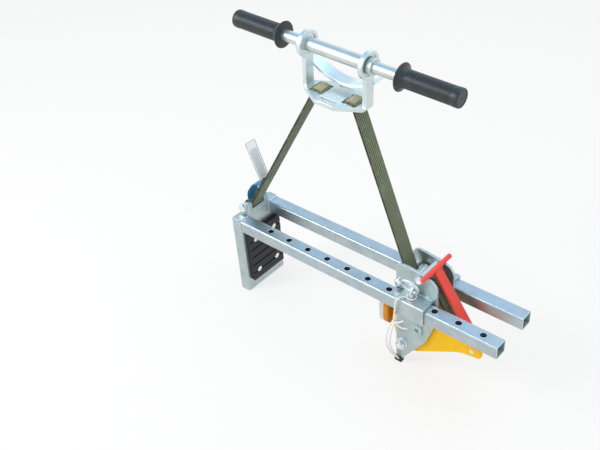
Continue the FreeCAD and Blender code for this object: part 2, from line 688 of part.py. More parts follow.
def bush(x):
    bore = BAR_DIAMETER / 2 + RUNNING_CLEARANCE
    return tube_x(x + BUSH_RECESS, x + YOKE_THICK - BUSH_RECESS, 0, BAR_Z, EYE_BORE / 2, bore)


def hook_saddle():
    half = YOKE_HALF_LENGTH + SADDLE_OVERHANG
    radius = (half ** 2 + SADDLE_RISE ** 2) / (2 * SADDLE_RISE)
    low = YOKE_BASE_TOP + SADDLE_LOW
    angle = math.degrees(math.asin(half / radius))
    band = arc_band(YOKE_X, low + radius, radius - SADDLE_THICK, radius, 270 - angle, 270 + angle,
                    SADDLE_WIDTH / 2)
    band.translate(Vector(0, YOKE_LEG_WIDTH / 2 + SADDLE_WIDTH / 2, 0))
    return band


inner_left = YOKE_X - YOKE_HALF_LENGTH
inner_right = YOKE_X + YOKE_HALF_LENGTH - YOKE_THICK
sleeve_bore = BAR_DIAMETER / 2 + SLIDE_CLEARANCE
centre_sleeve = tube_x(inner_left + YOKE_THICK - BUSH_RECESS, inner_right + BUSH_RECESS, 0, BAR_Z,
                       SLEEVE_DIAMETER / 2, sleeve_bore)
add("yoke_frame", tilted(yoke_frame()))
add("bar_bushes", tilted(bush(inner_left)), tilted(bush(inner_right)))
add("centre_sleeve", tilted(centre_sleeve))
add("hook_saddle", tilted(hook_saddle()))


# Handlebar with collars and flanged grips
def grip(side):
    end = BAR_X + side * (BAR_LENGTH / 2 + GRIP_END)
    start = end - side * GRIP_LENGTH
    body = rod_x(min(start, end), max(start, end), 0, BAR_Z, GRIP_DIAMETER / 2)
    body = round_edges(body, GRIP_ROUND,
                       lambda e: abs(e.BoundBox.XMin - end) + abs(e.BoundBox.XMax - end) < 1e-4)
    rim_end = end - side * GRIP_ROUND
    rim_start = rim_end - side * GRIP_RIM
    rim = rod_x(min(rim_start, rim_end), max(rim_start, rim_end), 0, BAR_Z, GRIP_RIM_DIAMETER / 2)
    lip = start + side * GRIP_FLANGE
    flange = rod_x(min(start, lip), max(start, lip), 0, BAR_Z, GRIP_FLANGE_DIAMETER / 2)
    flange = flange.makeFillet(GRIP_FLANGE * 0.4, [e for e in flange.Edges if e.Closed])
    flare = Part.makeCone(GRIP_FLANGE_DIAMETER / 2 - GRIP_FLANGE, GRIP_DIAMETER / 2, GRIP_FLARE,
                          Vector(lip, 0, BAR_Z), Vector(side, 0, 0))
    bar_end = BAR_X + side * BAR_LENGTH / 2
    shape = join([body, rim, flange, flare])
    return shape.cut(rod_x(min(start, bar_end), max(start, bar_end), 0, BAR_Z, BAR_DIAMETER / 2))


def collar(side):
    face = YOKE_X + side * (YOKE_HALF_LENGTH + COLLAR_GAP)
    out = face + side * COLLAR_WIDTH
    return tube_x(min(face, out), max(face, out), 0, BAR_Z, COLLAR_DIAMETER / 2, BAR_DIAMETER / 2)


handlebar = tube_x(BAR_X - BAR_LENGTH / 2, BAR_X + BAR_LENGTH / 2, 0, BAR_Z, BAR_DIAMETER / 2,
                   BAR_DIAMETER / 2 - BAR_WALL)
add("handlebar_tube", tilted(handlebar))
add("bar_collars", tilted(collar(-1)), tilted(collar(1)))
add("left_grip", tilted(grip(-1)))
add("right_grip", tilted(grip(1)))


# Carriage cheeks, with the top edge an arc about the lever's pivot
def cheek():
    left = CHEEK_LEFT
    right = CHEEK_RIGHT
    above = PIVOT_Z + CHEEK_TOP_RADIUS + CHEEK_CORNER
    outline = [(left, above, 0), (right, above, 0), (right, CHEEK_KNEE_Z, CHEEK_BEND),
               (CHEEK_WAIST_X, CHEEK_WAIST_Z, CHEEK_BEND), (left + CHEEK_TIP_WIDTH, CHEEK_TIP_Z, 0),
               (left, CHEEK_TIP_Z, 0)]
    shape = upright_plate(outline, -CHEEK_OUT, -CHEEK_IN)
    shape = shape.common(rod_y(PIVOT_X, -CHEEK_OUT, -CHEEK_IN, PIVOT_Z, CHEEK_TOP_RADIUS))
    for x, radius in ((left, CHEEK_CORNER), (right, CHEEK_REAR_CORNER)):
        shape = round_edges(shape, radius, lambda e: abs(e.Length - CHEEK_THICK) < 1e-4 and all(
            abs(v.Point.x - x) < 1e-4 and v.Point.z > RAIL_TOP for v in e.Vertexes))
    for x, z, diameter in ((PIVOT_X, PIVOT_Z, PIVOT_DIAMETER), (UPPER_SPACER_X, UPPER_SPACER_Z, SPACER_BOLT),
                           (LOWER_SPACER_X, LOWER_SPACER_Z, SPACER_BOLT)):
        shape = shape.cut(rod_y(x, -CHEEK_OUT, -CHEEK_IN, z, diameter / 2 + BOLT_PLAY))
    for x, z in ((LOW_ROLLER_X, LOW_ROLLER_Z), (HIGH_ROLLER_X, HIGH_ROLLER_Z)):
        shape = shape.cut(rod_y(x, -CHEEK_OUT, -CHEEK_IN, z, AXLE_DIAMETER / 2))
    return shape


def sleeve():
    right = SLEEVE_LEFT + SLEEVE_LENGTH
    out = OUTER_Y + SLIDE_CLEARANCE
    low = RAIL_BOTTOM - SLIDE_CLEARANCE
    shape = box(SLEEVE_LEFT, right, -out - SLEEVE_WALL, -CHEEK_OUT, low - SLEEVE_WALL, SLEEVE_TOP)
    shape = round_edges(shape, SLEEVE_BEND, lambda e: any(along_x(e, -out - SLEEVE_WALL, z)
                                                         for z in (low - SLEEVE_WALL, SLEEVE_TOP)))
    return shape.cut(box(SLEEVE_LEFT, right, -out, -CHEEK_OUT, low, RAIL_TOP + SLIDE_CLEARANCE))


front_cheek = cheek()
front_sleeve = sleeve()
add("front_cheek", front_cheek)
add("rear_cheek", mirrored(front_cheek))
lock_bore = LOCK_DIAMETER / 2 + RUNNING_CLEARANCE
add("front_sleeve", front_sleeve.cut(rod_z(LOCK_X, -RAIL_Y, RAIL_TOP, SLEEVE_TOP, lock_bore)))
add("rear_sleeve", mirrored(front_sleeve))


# Bosses on the cheeks' outer faces and rubber feet on their tips
def boss():
    half = BOSS_SIDE / 2
    signs = ((-1, -1), (1, -1), (1, 1), (-1, 1))
    corners = [(BOSS_X + a * half, BOSS_Z + b * half, BOSS_CORNER) for a, b in signs]
    shape = upright_plate(corners, -CHEEK_OUT - BOSS_HEIGHT, -CHEEK_OUT)
    return shape.cut(rod_y(BOSS_X, -CHEEK_OUT - BOSS_HEIGHT, -CHEEK_OUT, BOSS_Z, BOSS_HOLE / 2))


def foot():
    left = CHEEK_LEFT - FOOT_WALL
    right = CHEEK_LEFT + CHEEK_TIP_WIDTH + 2 * FOOT_WALL
    shape = box(left, right, -CHEEK_OUT - FOOT_WALL, -CHEEK_IN + FOOT_WALL, 0, FOOT_HEIGHT)
    return shape.cut(front_cheek)


front_boss = boss()
front_foot = foot()
add("cheek_bosses", front_boss, mirrored(front_boss))
add("cheek_feet", front_foot, mirrored(front_foot))


# Spacers between the cheeks, with their bolts and nuts
def spacer(x, z):
    return tube_y(x, -CHEEK_IN, CHEEK_IN, z, SPACER_DIAMETER / 2, SPACER_BOLT / 2 + BOLT_PLAY)


def round_head_bolt(x, z, end):
    head = rod_y(x, -CHEEK_OUT - head_height(SPACER_BOLT), -CHEEK_OUT, z, 0.9 * SPACER_BOLT)
    head = round_edges(head, SPACER_BOLT / 2, lambda e: e.Closed and e.BoundBox.YMax < -CHEEK_OUT - 1)
    return head.fuse(rod_y(x, -CHEEK_OUT, end, z, SPACER_BOLT / 2)).removeSplitter()


spacer_end = CHEEK_OUT + nut_height(SPACER_BOLT)
add("spacer_tubes", spacer(UPPER_SPACER_X, UPPER_SPACER_Z), spacer(LOWER_SPACER_X, LOWER_SPACER_Z))
add("spacer_bolts", bolt_y(UPPER_SPACER_X, UPPER_SPACER_Z, SPACER_BOLT, -CHEEK_OUT, spacer_end,
                           across_flats(SPACER_BOLT), head_height(SPACER_BOLT)),
    round_head_bolt(LOWER_SPACER_X, LOWER_SPACER_Z, spacer_end))
add("spacer_nuts", *[nut_y(x, z, SPACER_BOLT, CHEEK_OUT, spacer_end, across_flats(SPACER_BOLT))
                     for x, z in ((UPPER_SPACER_X, UPPER_SPACER_Z), (LOWER_SPACER_X, LOWER_SPACER_Z))])


# Strap rollers on pins that are flush with the cheeks
def roller(x, z, diameter):
    half = ROLLER_LENGTH / 2
    return tube_y(x, -half, half, z, diameter / 2, AXLE_DIAMETER / 2 + RUNNING_CLEARANCE)


add("low_roller", roller(LOW_ROLLER_X, LOW_ROLLER_Z, LOW_ROLLER_DIAMETER))
add("high_roller", roller(HIGH_ROLLER_X, HIGH_ROLLER_Z, HIGH_ROLLER_DIAMETER))
add("roller_axles", *[rod_y(x, -CHEEK_OUT, CHEEK_OUT, z, AXLE_DIAMETER / 2)
                      for x, z in ((LOW_ROLLER_X, LOW_ROLLER_Z), (HIGH_ROLLER_X, HIGH_ROLLER_Z))])


# Webbing round the rollers: under the low one, over the high one, then down to the lever
def strap_bend():
    low = Vector(LOW_ROLLER_X, 0, LOW_ROLLER_Z)
    high = Vector(HIGH_ROLLER_X, 0, HIGH_ROLLER_Z)
    across = high - low
    crossing = math.degrees(math.atan2(across.z, across.x)) - math.degrees(
        math.acos((LOW_MIDDLE + HIGH_MIDDLE) / across.Length))
    leave_low = crossing % 360
    reach_high = (crossing + 180) % 360
    start = RIGHT_TOUCH + LEG_TURN_ANGLE
    under = arc_band(low.x, low.z, LOW_INNER, LOW_INNER + STRAP_THICK, start, leave_low, HALF_STRAP)
    over = arc_band(high.x, high.z, HIGH_INNER, HIGH_INNER + STRAP_THICK, TAIL_TOUCH, reach_high, HALF_STRAP)
    foot = on_circle(low.x, low.z, LOW_MIDDLE, leave_low)
    bridge = strip(foot, on_circle(high.x, high.z, HIGH_MIDDLE, reach_high), STRAP_THICK, HALF_STRAP)
    return join([under, bridge, over])


def strap_tail():
    bolt = STRAP_BOLT_PLACE
    top = on_circle(HIGH_ROLLER_X, HIGH_ROLLER_Z, HIGH_MIDDLE, TAIL_TOUCH)
    inner = STRAP_BOLT_DIAMETER / 2 + STRAP_GAP
    eye = rod_y(bolt.x, -HALF_STRAP, HALF_STRAP, bolt.z, inner + STRAP_THICK)
    shape = join([strip(top, bolt, STRAP_THICK, HALF_STRAP), eye])
    return shape.cut(rod_y(bolt.x, -HALF_STRAP, HALF_STRAP, bolt.z, inner))


STRAP_BOLT_PLACE = Vector(STRAP_BOLT_X, 0, STRAP_BOLT_Z)
TAIL_TOUCH = tangent_angle(HIGH_ROLLER_X, HIGH_ROLLER_Z, HIGH_MIDDLE, STRAP_BOLT_PLACE, 1)
add("strap_bend", strap_bend())
add("strap_tail", strap_tail())


# Lock bolt, shown drawn just clear of the rail, and its pull ring, which leans to the front
LOCK_TIP = RAIL_TOP + LOCK_TIP_CLEAR
LOCK_HEAD_LOW = SLEEVE_TOP + CORD_DIAMETER + SLIDE_CLEARANCE + LOCK_STROKE
RING_Z = LOCK_HEAD_LOW + LOCK_HEAD_HEIGHT / 2


def lock_bolt():
    shank = rod_z(LOCK_X, -RAIL_Y, LOCK_TIP, LOCK_HEAD_LOW, LOCK_DIAMETER / 2)
    head = rod_z(LOCK_X, -RAIL_Y, LOCK_HEAD_LOW, LOCK_HEAD_LOW + LOCK_HEAD_HEIGHT, LOCK_DIAMETER / 2)
    half = LOCK_HEAD_WIDTH / 2
    front = -RAIL_Y - LOCK_DIAMETER
    back = -RAIL_Y + LOCK_DIAMETER
    head = head.common(box(LOCK_X - half, LOCK_X + half, front, back, LOCK_HEAD_LOW,
                           LOCK_HEAD_LOW + LOCK_HEAD_HEIGHT))
    bore = rod_x(LOCK_X - half, LOCK_X + half, -RAIL_Y, RING_Z, RING_WIRE / 2 + RUNNING_CLEARANCE)
    return join([shank, head]).cut(bore)


def pull_ring():
    wire = RING_WIRE / 2
    centre = Vector(LOCK_X, -RAIL_Y, RING_Z + RING_RISE)
    hoop = Part.makeTorus(RING_RADIUS, wire, centre, Vector(0, 1, 0))
    wide = 2 * RING_RADIUS
    hoop = hoop.cut(box(LOCK_X - wide, LOCK_X + wide, -RAIL_Y - RING_WIRE, -RAIL_Y + RING_WIRE,
                        RING_Z - RING_RADIUS, RING_Z))
    half = math.sqrt(RING_RADIUS ** 2 - RING_RISE ** 2)
    ends = [Part.makeSphere(wire, Vector(LOCK_X + side * half, -RAIL_Y, RING_Z)) for side in (-1, 1)]
    shape = join([hoop, rod_x(LOCK_X - half, LOCK_X + half, -RAIL_Y, RING_Z, wire)] + ends)
    shape.rotate(Vector(LOCK_X, -RAIL_Y, RING_Z), Vector(1, 0, 0), RING_LEAN)
    return shape


add("lock_bolt", lock_bolt())
add("pull_ring", pull_ring())


# Clamp lever: two side plates on a hub, with pins for the shoe, the strap and the handle
def lever_plate():
    outline = [(PIVOT_X + a, PIVOT_Z + b, radius) for a, b, radius in LEVER_OUTLINE]
    shape = upright_plate(outline, -LEVER_OUT, -LEVER_OUT + LEVER_PLATE)
    holes = [(PIVOT_X, PIVOT_Z, PIVOT_DIAMETER / 2 + RUNNING_CLEARANCE),
             (SHOE_PIN_X, SHOE_PIN_Z, SHOE_PIN_DIAMETER / 2),
             (STRAP_BOLT_X, STRAP_BOLT_Z, STRAP_BOLT_DIAMETER / 2),
             (HANDLE_PIN_X, HANDLE_PIN_Z, HANDLE_PIN_DIAMETER / 2)]
    for x, z, radius in holes:
        shape = shape.cut(rod_y(x, -LEVER_OUT, LEVER_OUT, z, radius))
    return shape


def lever_pin(x, z, diameter):
    return rod_y(x, -LEVER_OUT, LEVER_OUT, z, diameter / 2)


front_lever_plate = lever_plate()
add("front_lever_plate", front_lever_plate)
add("rear_lever_plate", mirrored(front_lever_plate))
add("lever_hub", tube_y(PIVOT_X, -LEVER_INSIDE / 2, LEVER_INSIDE / 2, PIVOT_Z, HUB_DIAMETER / 2,
                        PIVOT_DIAMETER / 2 + RUNNING_CLEARANCE))
add("shoe_pin", lever_pin(SHOE_PIN_X, SHOE_PIN_Z, SHOE_PIN_DIAMETER))
add("strap_pin", lever_pin(STRAP_BOLT_X, STRAP_BOLT_Z, STRAP_BOLT_DIAMETER))
add("handle_pin", lever_pin(HANDLE_PIN_X, HANDLE_PIN_Z, HANDLE_PIN_DIAMETER))

pivot_end = CHEEK_OUT + nut_height(PIVOT_DIAMETER)
pivot_bolt = bolt_y(PIVOT_X, PIVOT_Z, PIVOT_DIAMETER, -CHEEK_OUT, pivot_end, across_flats(PIVOT_DIAMETER),
                    head_height(PIVOT_DIAMETER))
pivot_nut = nut_y(PIVOT_X, PIVOT_Z, PIVOT_DIAMETER, CHEEK_OUT, pivot_end, across_flats(PIVOT_DIAMETER))
add("pivot_bolt", mirrored(pivot_bolt))
add("pivot_nut", mirrored(pivot_nut))


# Clamp shoe with its rubber pad
def shoe_plate(x0, x1):
    half = SHOE_WIDTH / 2
    low = SHOE_PIN_Z - SHOE_BELOW_PIN
    high = SHOE_PIN_Z + SHOE_ABOVE_PIN
    corners = [(y, z, SHOE_CORNER) for y, z in ((-half, low), (half, low), (half, high), (-half, high))]
    return rounded_face(corners, lambda a, b: Vector(x0, a, b)).extrude(Vector(x1 - x0, 0, 0))


def clamp_shoe():
    back = SHOE_PIN_X - SHOE_BACK_GAP
    plate = shoe_plate(back - SHOE_PLATE, back)
    plate = round_edges(plate, SHOE_PLATE / 3,
                        lambda e: all(abs(v.Point.x - back) < 1e-4 for v in e.Vertexes))
    lug_half = SHOE_LUG_WIDTH / 2
    lug = join([rod_y(SHOE_PIN_X, -lug_half, lug_half, SHOE_PIN_Z, SHOE_LUG_RADIUS),
                box(back - SHOE_PLATE / 2, SHOE_PIN_X, -lug_half, lug_half, SHOE_PIN_Z - SHOE_LUG_RADIUS,
                    SHOE_PIN_Z + SHOE_LUG_RADIUS)])
    shape = join([plate, lug])
    bore = SHOE_PIN_DIAMETER / 2 + RUNNING_CLEARANCE
    return shape.cut(rod_y(SHOE_PIN_X, -lug_half, lug_half, SHOE_PIN_Z, bore))


def shoe_pad():
    back = SHOE_PIN_X - SHOE_BACK_GAP - SHOE_PLATE
    face = back - SHOE_PAD
    pad = shoe_plate(face, back)
    return round_edges(pad, SHOE_PAD / 3, lambda e: all(abs(v.Point.x - face) < 1e-4 for v in e.Vertexes))


add("clamp_shoe", clamp_shoe())
add("shoe_pad", shoe_pad())


# Release handle: a flat bar from the lever's tip to a T bar that rests on the cheeks' tops
T_BAR = rod_y(T_BAR_X, -T_BAR_LENGTH / 2, T_BAR_LENGTH / 2, T_BAR_Z, T_BAR_DIAMETER / 2)


def release_bar():
    pin = Vector(HANDLE_PIN_X, 0, HANDLE_PIN_Z)
    hub_half = HANDLE_HUB_WIDTH / 2
    hub = rod_y(pin.x, -hub_half, hub_half, pin.z, HANDLE_HUB_DIAMETER / 2)
    flat = strip(pin, Vector(T_BAR_X, 0, T_BAR_Z), HANDLE_BAR_THICK, HANDLE_BAR_WIDTH / 2)
    shape = join([hub, flat])
    shape = shape.cut(rod_y(pin.x, -hub_half, hub_half, pin.z, HANDLE_PIN_DIAMETER / 2 + RUNNING_CLEARANCE))
    return shape.cut(T_BAR)


add("release_bar", release_bar())
add("release_t_bar", T_BAR.makeFillet(T_BAR_DIAMETER * 0.3, [e for e in T_BAR.Edges if e.Closed]))


# Safety cord from the lock bolt's neck to the front foot, tied in a knot on the way
def cord_eye():
    ring = LOCK_DIAMETER / 2 + CORD_EYE_GAP + CORD_DIAMETER / 2
    return Part.makeTorus(ring, CORD_DIAMETER / 2, Vector(LOCK_X, -RAIL_Y, SLEEVE_TOP + CORD_DIAMETER / 2))


def knot():
    x, y, z = CORD_DROP[-1]
    return Part.makeSphere(KNOT_DIAMETER / 2, Vector(LOCK_X + x, y, z) + Vector(*KNOT_SHIFT))


knot_ball = knot()
add("tether_eye", cord_eye())
add("tether_knot", knot_ball)
add("tether_drop", cord(CORD_DROP, CORD_DIAMETER, "tether_drop").cut(PARTS["tether_eye"]).cut(knot_ball))
add("tether_outer", cord(CORD_OUTER, CORD_DIAMETER, "tether_outer").cut(knot_ball).cut(front_foot))
add("tether_inner", cord(CORD_INNER, CORD_DIAMETER, "tether_inner").cut(knot_ball).cut(front_foot))
add("tether_tails", *[cord(points, CORD_DIAMETER, "tether_tail").cut(knot_ball) for points in CORD_TAILS])

for name, shape in PARTS.items():
    shape.exportStep(os.path.join("parts", name + ".step"))
print("nodes", len(PARTS))
print("strap pivots", LEFT_PIVOT, RIGHT_PIVOT)
print("T bar", T_BAR_X, round(T_BAR_Z, 2), "lock bolt x", LOCK_X, "ring z", RING_Z)
for name, shape in PARTS.items():
    valid = shape.isValid()
    if not valid or shape.Volume < 1:
        print("check", name, valid, len(shape.Solids), round(shape.Volume))
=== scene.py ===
import json
import math

import bmesh
import bpy
from mathutils import Matrix, Vector


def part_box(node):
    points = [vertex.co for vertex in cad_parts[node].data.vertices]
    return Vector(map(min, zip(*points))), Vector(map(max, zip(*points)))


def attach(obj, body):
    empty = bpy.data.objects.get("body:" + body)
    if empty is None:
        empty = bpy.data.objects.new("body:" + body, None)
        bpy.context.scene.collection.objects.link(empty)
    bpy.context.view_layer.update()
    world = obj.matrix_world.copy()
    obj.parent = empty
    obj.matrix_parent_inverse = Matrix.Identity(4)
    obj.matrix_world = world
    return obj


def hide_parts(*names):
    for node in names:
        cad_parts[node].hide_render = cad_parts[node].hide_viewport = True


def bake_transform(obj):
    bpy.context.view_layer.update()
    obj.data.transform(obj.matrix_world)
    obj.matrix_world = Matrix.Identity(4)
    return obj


# Two-rail lifting tongs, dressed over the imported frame. Lengths are given in millimetres
# and turned to metres where a piece is made.

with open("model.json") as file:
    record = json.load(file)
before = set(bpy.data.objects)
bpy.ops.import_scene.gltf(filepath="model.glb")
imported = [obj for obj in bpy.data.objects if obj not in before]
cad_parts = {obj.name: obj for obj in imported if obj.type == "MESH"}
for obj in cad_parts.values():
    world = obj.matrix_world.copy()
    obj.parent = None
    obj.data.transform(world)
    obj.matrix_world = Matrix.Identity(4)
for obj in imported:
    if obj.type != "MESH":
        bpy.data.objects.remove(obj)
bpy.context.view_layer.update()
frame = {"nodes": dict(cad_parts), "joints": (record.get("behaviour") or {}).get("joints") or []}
nodes = frame["nodes"]
bpy.ops.object.select_all(action="DESELECT")


# Places on the tongs, read from the frame in millimetres as (x, z) seen from the front
def mm(x, y, z):
    return Vector((x, y, z)) * 0.001


def at(spot, y=0.0):
    """A place seen from the front, y millimetres from the middle plane."""
    return mm(spot[0], y, spot[1])


def on_circle(centre, radius, degrees):
    turn = math.radians(degrees)
    return (centre[0] + radius * math.cos(turn), centre[1] + radius * math.sin(turn))


def arc(centre, radius, start, end, steps):
    return [on_circle(centre, radius, start + (end - start) * i / steps) for i in range(steps + 1)]


def touch(centre, radius, point, side):
    """Angle where a line from the point touches the circle; side +1 is anticlockwise."""
    dx = point[0] - centre[0]
    dz = point[1] - centre[1]
    return math.degrees(math.atan2(dz, dx) + side * math.acos(radius / math.hypot(dx, dz)))


def middle(name):
    """Middle of a node's box, seen from the front."""
    low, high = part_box(name)
    return ((low[0] + high[0]) * 500, (low[2] + high[2]) * 500)


def end_of(name, axis, side):
    """Lowest or highest coordinate of a node along an axis (0, 1 or 2), in millimetres."""
    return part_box(name)[side][axis] * 1000


def joint(name):
    return next(found for found in frame["joints"] if found["name"] == name)


ANCHOR = middle("anchor_nut")
LOW_ROLLER = middle("low_roller")
HIGH_ROLLER = middle("high_roller")
STRAP_PIN = middle("strap_pin")
LEFT_SLOT = tuple(1000 * joint("yoke_level")["pos_m"][i] for i in (0, 2))
BAR_AXIS = joint("handlebar_spin")["axis"]
BAR = middle("handlebar_tube")
SLOT_SPACING = 100.0


def hung(out, up):
    """A point of the yoke, out along the bar's direction and up from the left strap's slot."""
    return (LEFT_SLOT[0] + out * BAR_AXIS[0] - up * BAR_AXIS[2],
            LEFT_SLOT[1] + out * BAR_AXIS[2] + up * BAR_AXIS[0])


RIGHT_SLOT = hung(SLOT_SPACING, 0.0)

# Sling: the webbing's size and the radius of its middle round each pin and roller
SLING_WIDTH = 35.0
SLING_THICK = 3.9
SLING_EDGE = 1.2
SLING_LAYER = 4.0
LOOP_WIDTH = 29.0
LABEL_WIDTH = 33.0
ANCHOR_WRAP = 8.05
LOW_WRAP = 16.3
HIGH_WRAP = 12.3
PIN_WRAP = 7.3
LEFT_FOOT = on_circle(ANCHOR, ANCHOR_WRAP, touch(ANCHOR, ANCHOR_WRAP, LEFT_SLOT, -1))
RIGHT_FOOT_ANGLE = touch(LOW_ROLLER, LOW_WRAP, RIGHT_SLOT, 1)
RIGHT_FOOT = on_circle(LOW_ROLLER, LOW_WRAP, RIGHT_FOOT_ANGLE)


# Modelling helpers
def named(name):
    piece = bpy.context.object
    piece.name = name
    piece.data.name = name
    return piece


def take_up(*pieces):
    """Selects these pieces and no other, with the first one active."""
    bpy.ops.object.select_all(action="DESELECT")
    for piece in pieces:
        piece.select_set(True)
    bpy.context.view_layer.objects.active = pieces[0]


def pick(test):
    """In edit mode, selects the points that pass the test and nothing else."""
    bpy.ops.mesh.select_mode(type="VERT")
    bpy.ops.mesh.select_all(action="DESELECT")
    shape = bmesh.from_edit_mesh(bpy.context.object.data)
    for point in shape.verts:
        point.select = test(point.co)
    shape.select_flush_mode()
    bmesh.update_edit_mesh(bpy.context.object.data)


def finished_with(piece, kind, **settings):
    """Adds a modifier to the piece and applies it."""
    take_up(piece)
    modifier = piece.modifiers.new(kind.lower(), kind)
    for name, value in settings.items():
        setattr(modifier, name, value)
    bpy.ops.object.modifier_apply(modifier=modifier.name)


def repeated(piece, count, pitch):
    """Repeats a piece along its Z axis, once every so many millimetres."""
    finished_with(piece, "ARRAY", count=count, use_relative_offset=False,
                  use_constant_offset=True, constant_offset_displace=(0, 0, pitch / 1000))


def copy_of(piece, name):
    other = piece.copy()
    other.data = piece.data.copy()
    bpy.context.scene.collection.objects.link(other)
    other.name = name
    other.data.name = name
    return other


def placed(piece, place):
    """Moves a piece drawn at the origin to its place, with the move kept in its mesh."""
    piece.matrix_world = place
    take_up(piece)
    bpy.ops.object.transform_apply(location=True, rotation=True, scale=True)


def along(start, end):
    """Placement that takes the Z axis from start towards end, at start."""
    turn = (end - start).to_track_quat("Z", "Y").to_matrix().to_4x4()
    return Matrix.Translation(start) @ turn


def leaning(about_x, about_y):
    """Turn by these degrees, first about Y and then about X."""
    return (Matrix.Rotation(math.radians(about_x), 4, "X")
            @ Matrix.Rotation(math.radians(about_y), 4, "Y"))


def one_piece(name, pieces):
    take_up(*pieces)
    bpy.ops.object.join()
    return named(name)


def smoothed(piece, degrees):
    take_up(piece)
    bpy.ops.object.shade_smooth_by_angle(angle=math.radians(degrees))


def dressed(piece, material, body, replaces=()):
    """Gives a piece its material and body, and hides the frame's parts it replaces; a piece without
    a body is left unattached.
    """
    piece.data.materials.clear()
    piece.data.materials.append(material)
    if body:
        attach(piece, body)
    if replaces:
        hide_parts(*replaces)
    return piece


# Material helpers
def linear(code):
    """sRGB hex code to a linear colour."""
    parts = [int(code[i:i + 2], 16) / 255 for i in (1, 3, 5)]
    return [c / 12.92 if c <= 0.04045 else ((c + 0.055) / 1.055) ** 2.4 for c in parts] + [1.0]


def new_material(name):
    material = bpy.data.materials.new(name)
    material.use_nodes = True
    material.node_tree.nodes.clear()
    return material.node_tree


def add(tree, kind, settings=None, values=None, links=None):
    """One node with its settings, its fixed inputs and its links from other nodes' outputs."""
    made = tree.nodes.new(kind)
    for name, value in (settings or {}).items():
        setattr(made, name, value)
    for name, value in (values or {}).items():
        made.inputs[name].default_value = value
    for name, source in (links or {}).items():
        tree.links.new(source, made.inputs[name])
    return made


def grains(size):
    """Noise or cell scale for marks of that many millimetres."""
    return 1000.0 / size


def bands(pitch):
    """Wave scale for bands that repeat every so many millimetres."""
    return 1000.0 * math.pi / 10 / pitch


def rounded_edges(tree, radius):
    """Normal with the edges rounded by so many millimetres, and how near it is to the flat one."""
    soft = add(tree, "ShaderNodeBevel", {"samples": 6}, {"Radius": radius / 1000}).outputs["Normal"]
    flat = add(tree, "ShaderNodeNewGeometry").outputs["Normal"]
    near = add(tree, "ShaderNodeVectorMath", {"operation": "DOT_PRODUCT"}, links={0: soft, 1: flat})
    return soft, near.outputs["Value"]


# Materials
# Bright zinc on drawn steel tube and folded plate: a clear bluish metal with soft clouds from the
# plating bath, faint drawing lines along the rails, and edges painted near-white: a painted
# highlight of their rounding, with a little rub. Inside a tube the plating stays thin and dull, so
# a bore (middle out from the part's middle, middle height and half width, in millimetres) gets a
# matt grey.
def zinc(name, light, dark, tint, smooth, rough, bore=None):
    tree = new_material(name)
    place = add(tree, "ShaderNodeTexCoord").outputs["Object"]
    clouds = add(tree, "ShaderNodeTexNoise",
                 values={"Scale": grains(30), "Detail": 5.0, "Roughness": 0.6},
                 links={"Vector": place}).outputs["Fac"]
    stretched = add(tree, "ShaderNodeMapping", values={"Scale": (0.06, 1.0, 1.0)},
                    links={"Vector": place}).outputs["Vector"]
    lines = add(tree, "ShaderNodeTexNoise", values={"Scale": grains(1.6), "Detail": 3.0},
                links={"Vector": stretched}).outputs["Fac"]
    bath = add(tree, "ShaderNodeTexNoise", values={"Scale": grains(70), "Detail": 2.0},
               links={"Vector": place}).outputs["Fac"]
    cloudy = add(tree, "ShaderNodeMapRange", values={"From Min": 0.35, "From Max": 0.68},
                 links={"Value": clouds}).outputs["Result"]
    base = add(tree, "ShaderNodeMixRGB", values={"Color1": linear(light), "Color2": linear(dark)},
               links={"Fac": cloudy}).outputs["Color"]
    tinge = add(tree, "ShaderNodeMapRange",
                values={"From Min": 0.5, "From Max": 0.75, "To Max": 0.55},
                links={"Value": bath}).outputs["Result"]
    toned = add(tree, "ShaderNodeMixRGB", values={"Color2": linear(tint)},
                links={"Fac": tinge, "Color1": base}).outputs["Color"]
    edge, flatness = rounded_edges(tree, 1.6)
    # Painted highlight: the edges are mixed towards near-white, standing in for the light caught by
    # their rounding, with a little rub.
    edge_mask = add(tree, "ShaderNodeMapRange",
                 values={"From Min": 0.995, "From Max": 0.85, "To Max": 0.9},
                 links={"Value": flatness}).outputs["Result"]
    colour = add(tree, "ShaderNodeMixRGB", values={"Color2": linear("#f6f8f9")},
                 links={"Fac": edge_mask, "Color1": toned}).outputs["Color"]
    dull = add(tree, "ShaderNodeMapRange",
               values={"From Min": 0.3, "From Max": 0.7, "To Min": smooth, "To Max": rough},
               links={"Value": clouds}).outputs["Result"]
    relief = add(tree, "ShaderNodeBump", values={"Strength": 0.03, "Distance": 0.0001},
                 links={"Height": lines, "Normal": edge}).outputs["Normal"]
    shader = add(tree, "ShaderNodeBsdfPrincipled", values={"Metallic": 1.0},
                 links={"Base Color": colour, "Roughness": dull, "Normal": relief})
    if bore:
        out, height, half = [size / 1000 for size in bore]
        split = add(tree, "ShaderNodeSeparateXYZ", links={"Vector": place})
        aside = add(tree, "ShaderNodeMath", {"operation": "ABSOLUTE"},
                    links={0: split.outputs["Y"]}).outputs["Value"]
        in_width = add(tree, "ShaderNodeMath", {"operation": "COMPARE"}, {1: out, 2: half},
                       {0: aside}).outputs["Value"]
        in_height = add(tree, "ShaderNodeMath", {"operation": "COMPARE"}, {1: height, 2: half},
                        {0: split.outputs["Z"]}).outputs["Value"]
        inside = add(tree, "ShaderNodeMath", {"operation": "MULTIPLY"},
                     links={0: in_width, 1: in_height}).outputs["Value"]
        bare = add(tree, "ShaderNodeMixRGB", values={"Color2": linear("#9db4b8")},
                   links={"Fac": inside, "Color1": colour})
        shine = add(tree, "ShaderNodeMapRange", values={"To Min": 1.0, "To Max": 0.15},
                    links={"Value": inside})
        tree.links.new(bare.outputs["Color"], shader.inputs["Base Color"])
        tree.links.new(shine.outputs["Result"], shader.inputs["Metallic"])
    add(tree, "ShaderNodeOutputMaterial", links={"Surface": shader.outputs["BSDF"]})
    return bpy.data.materials[name]


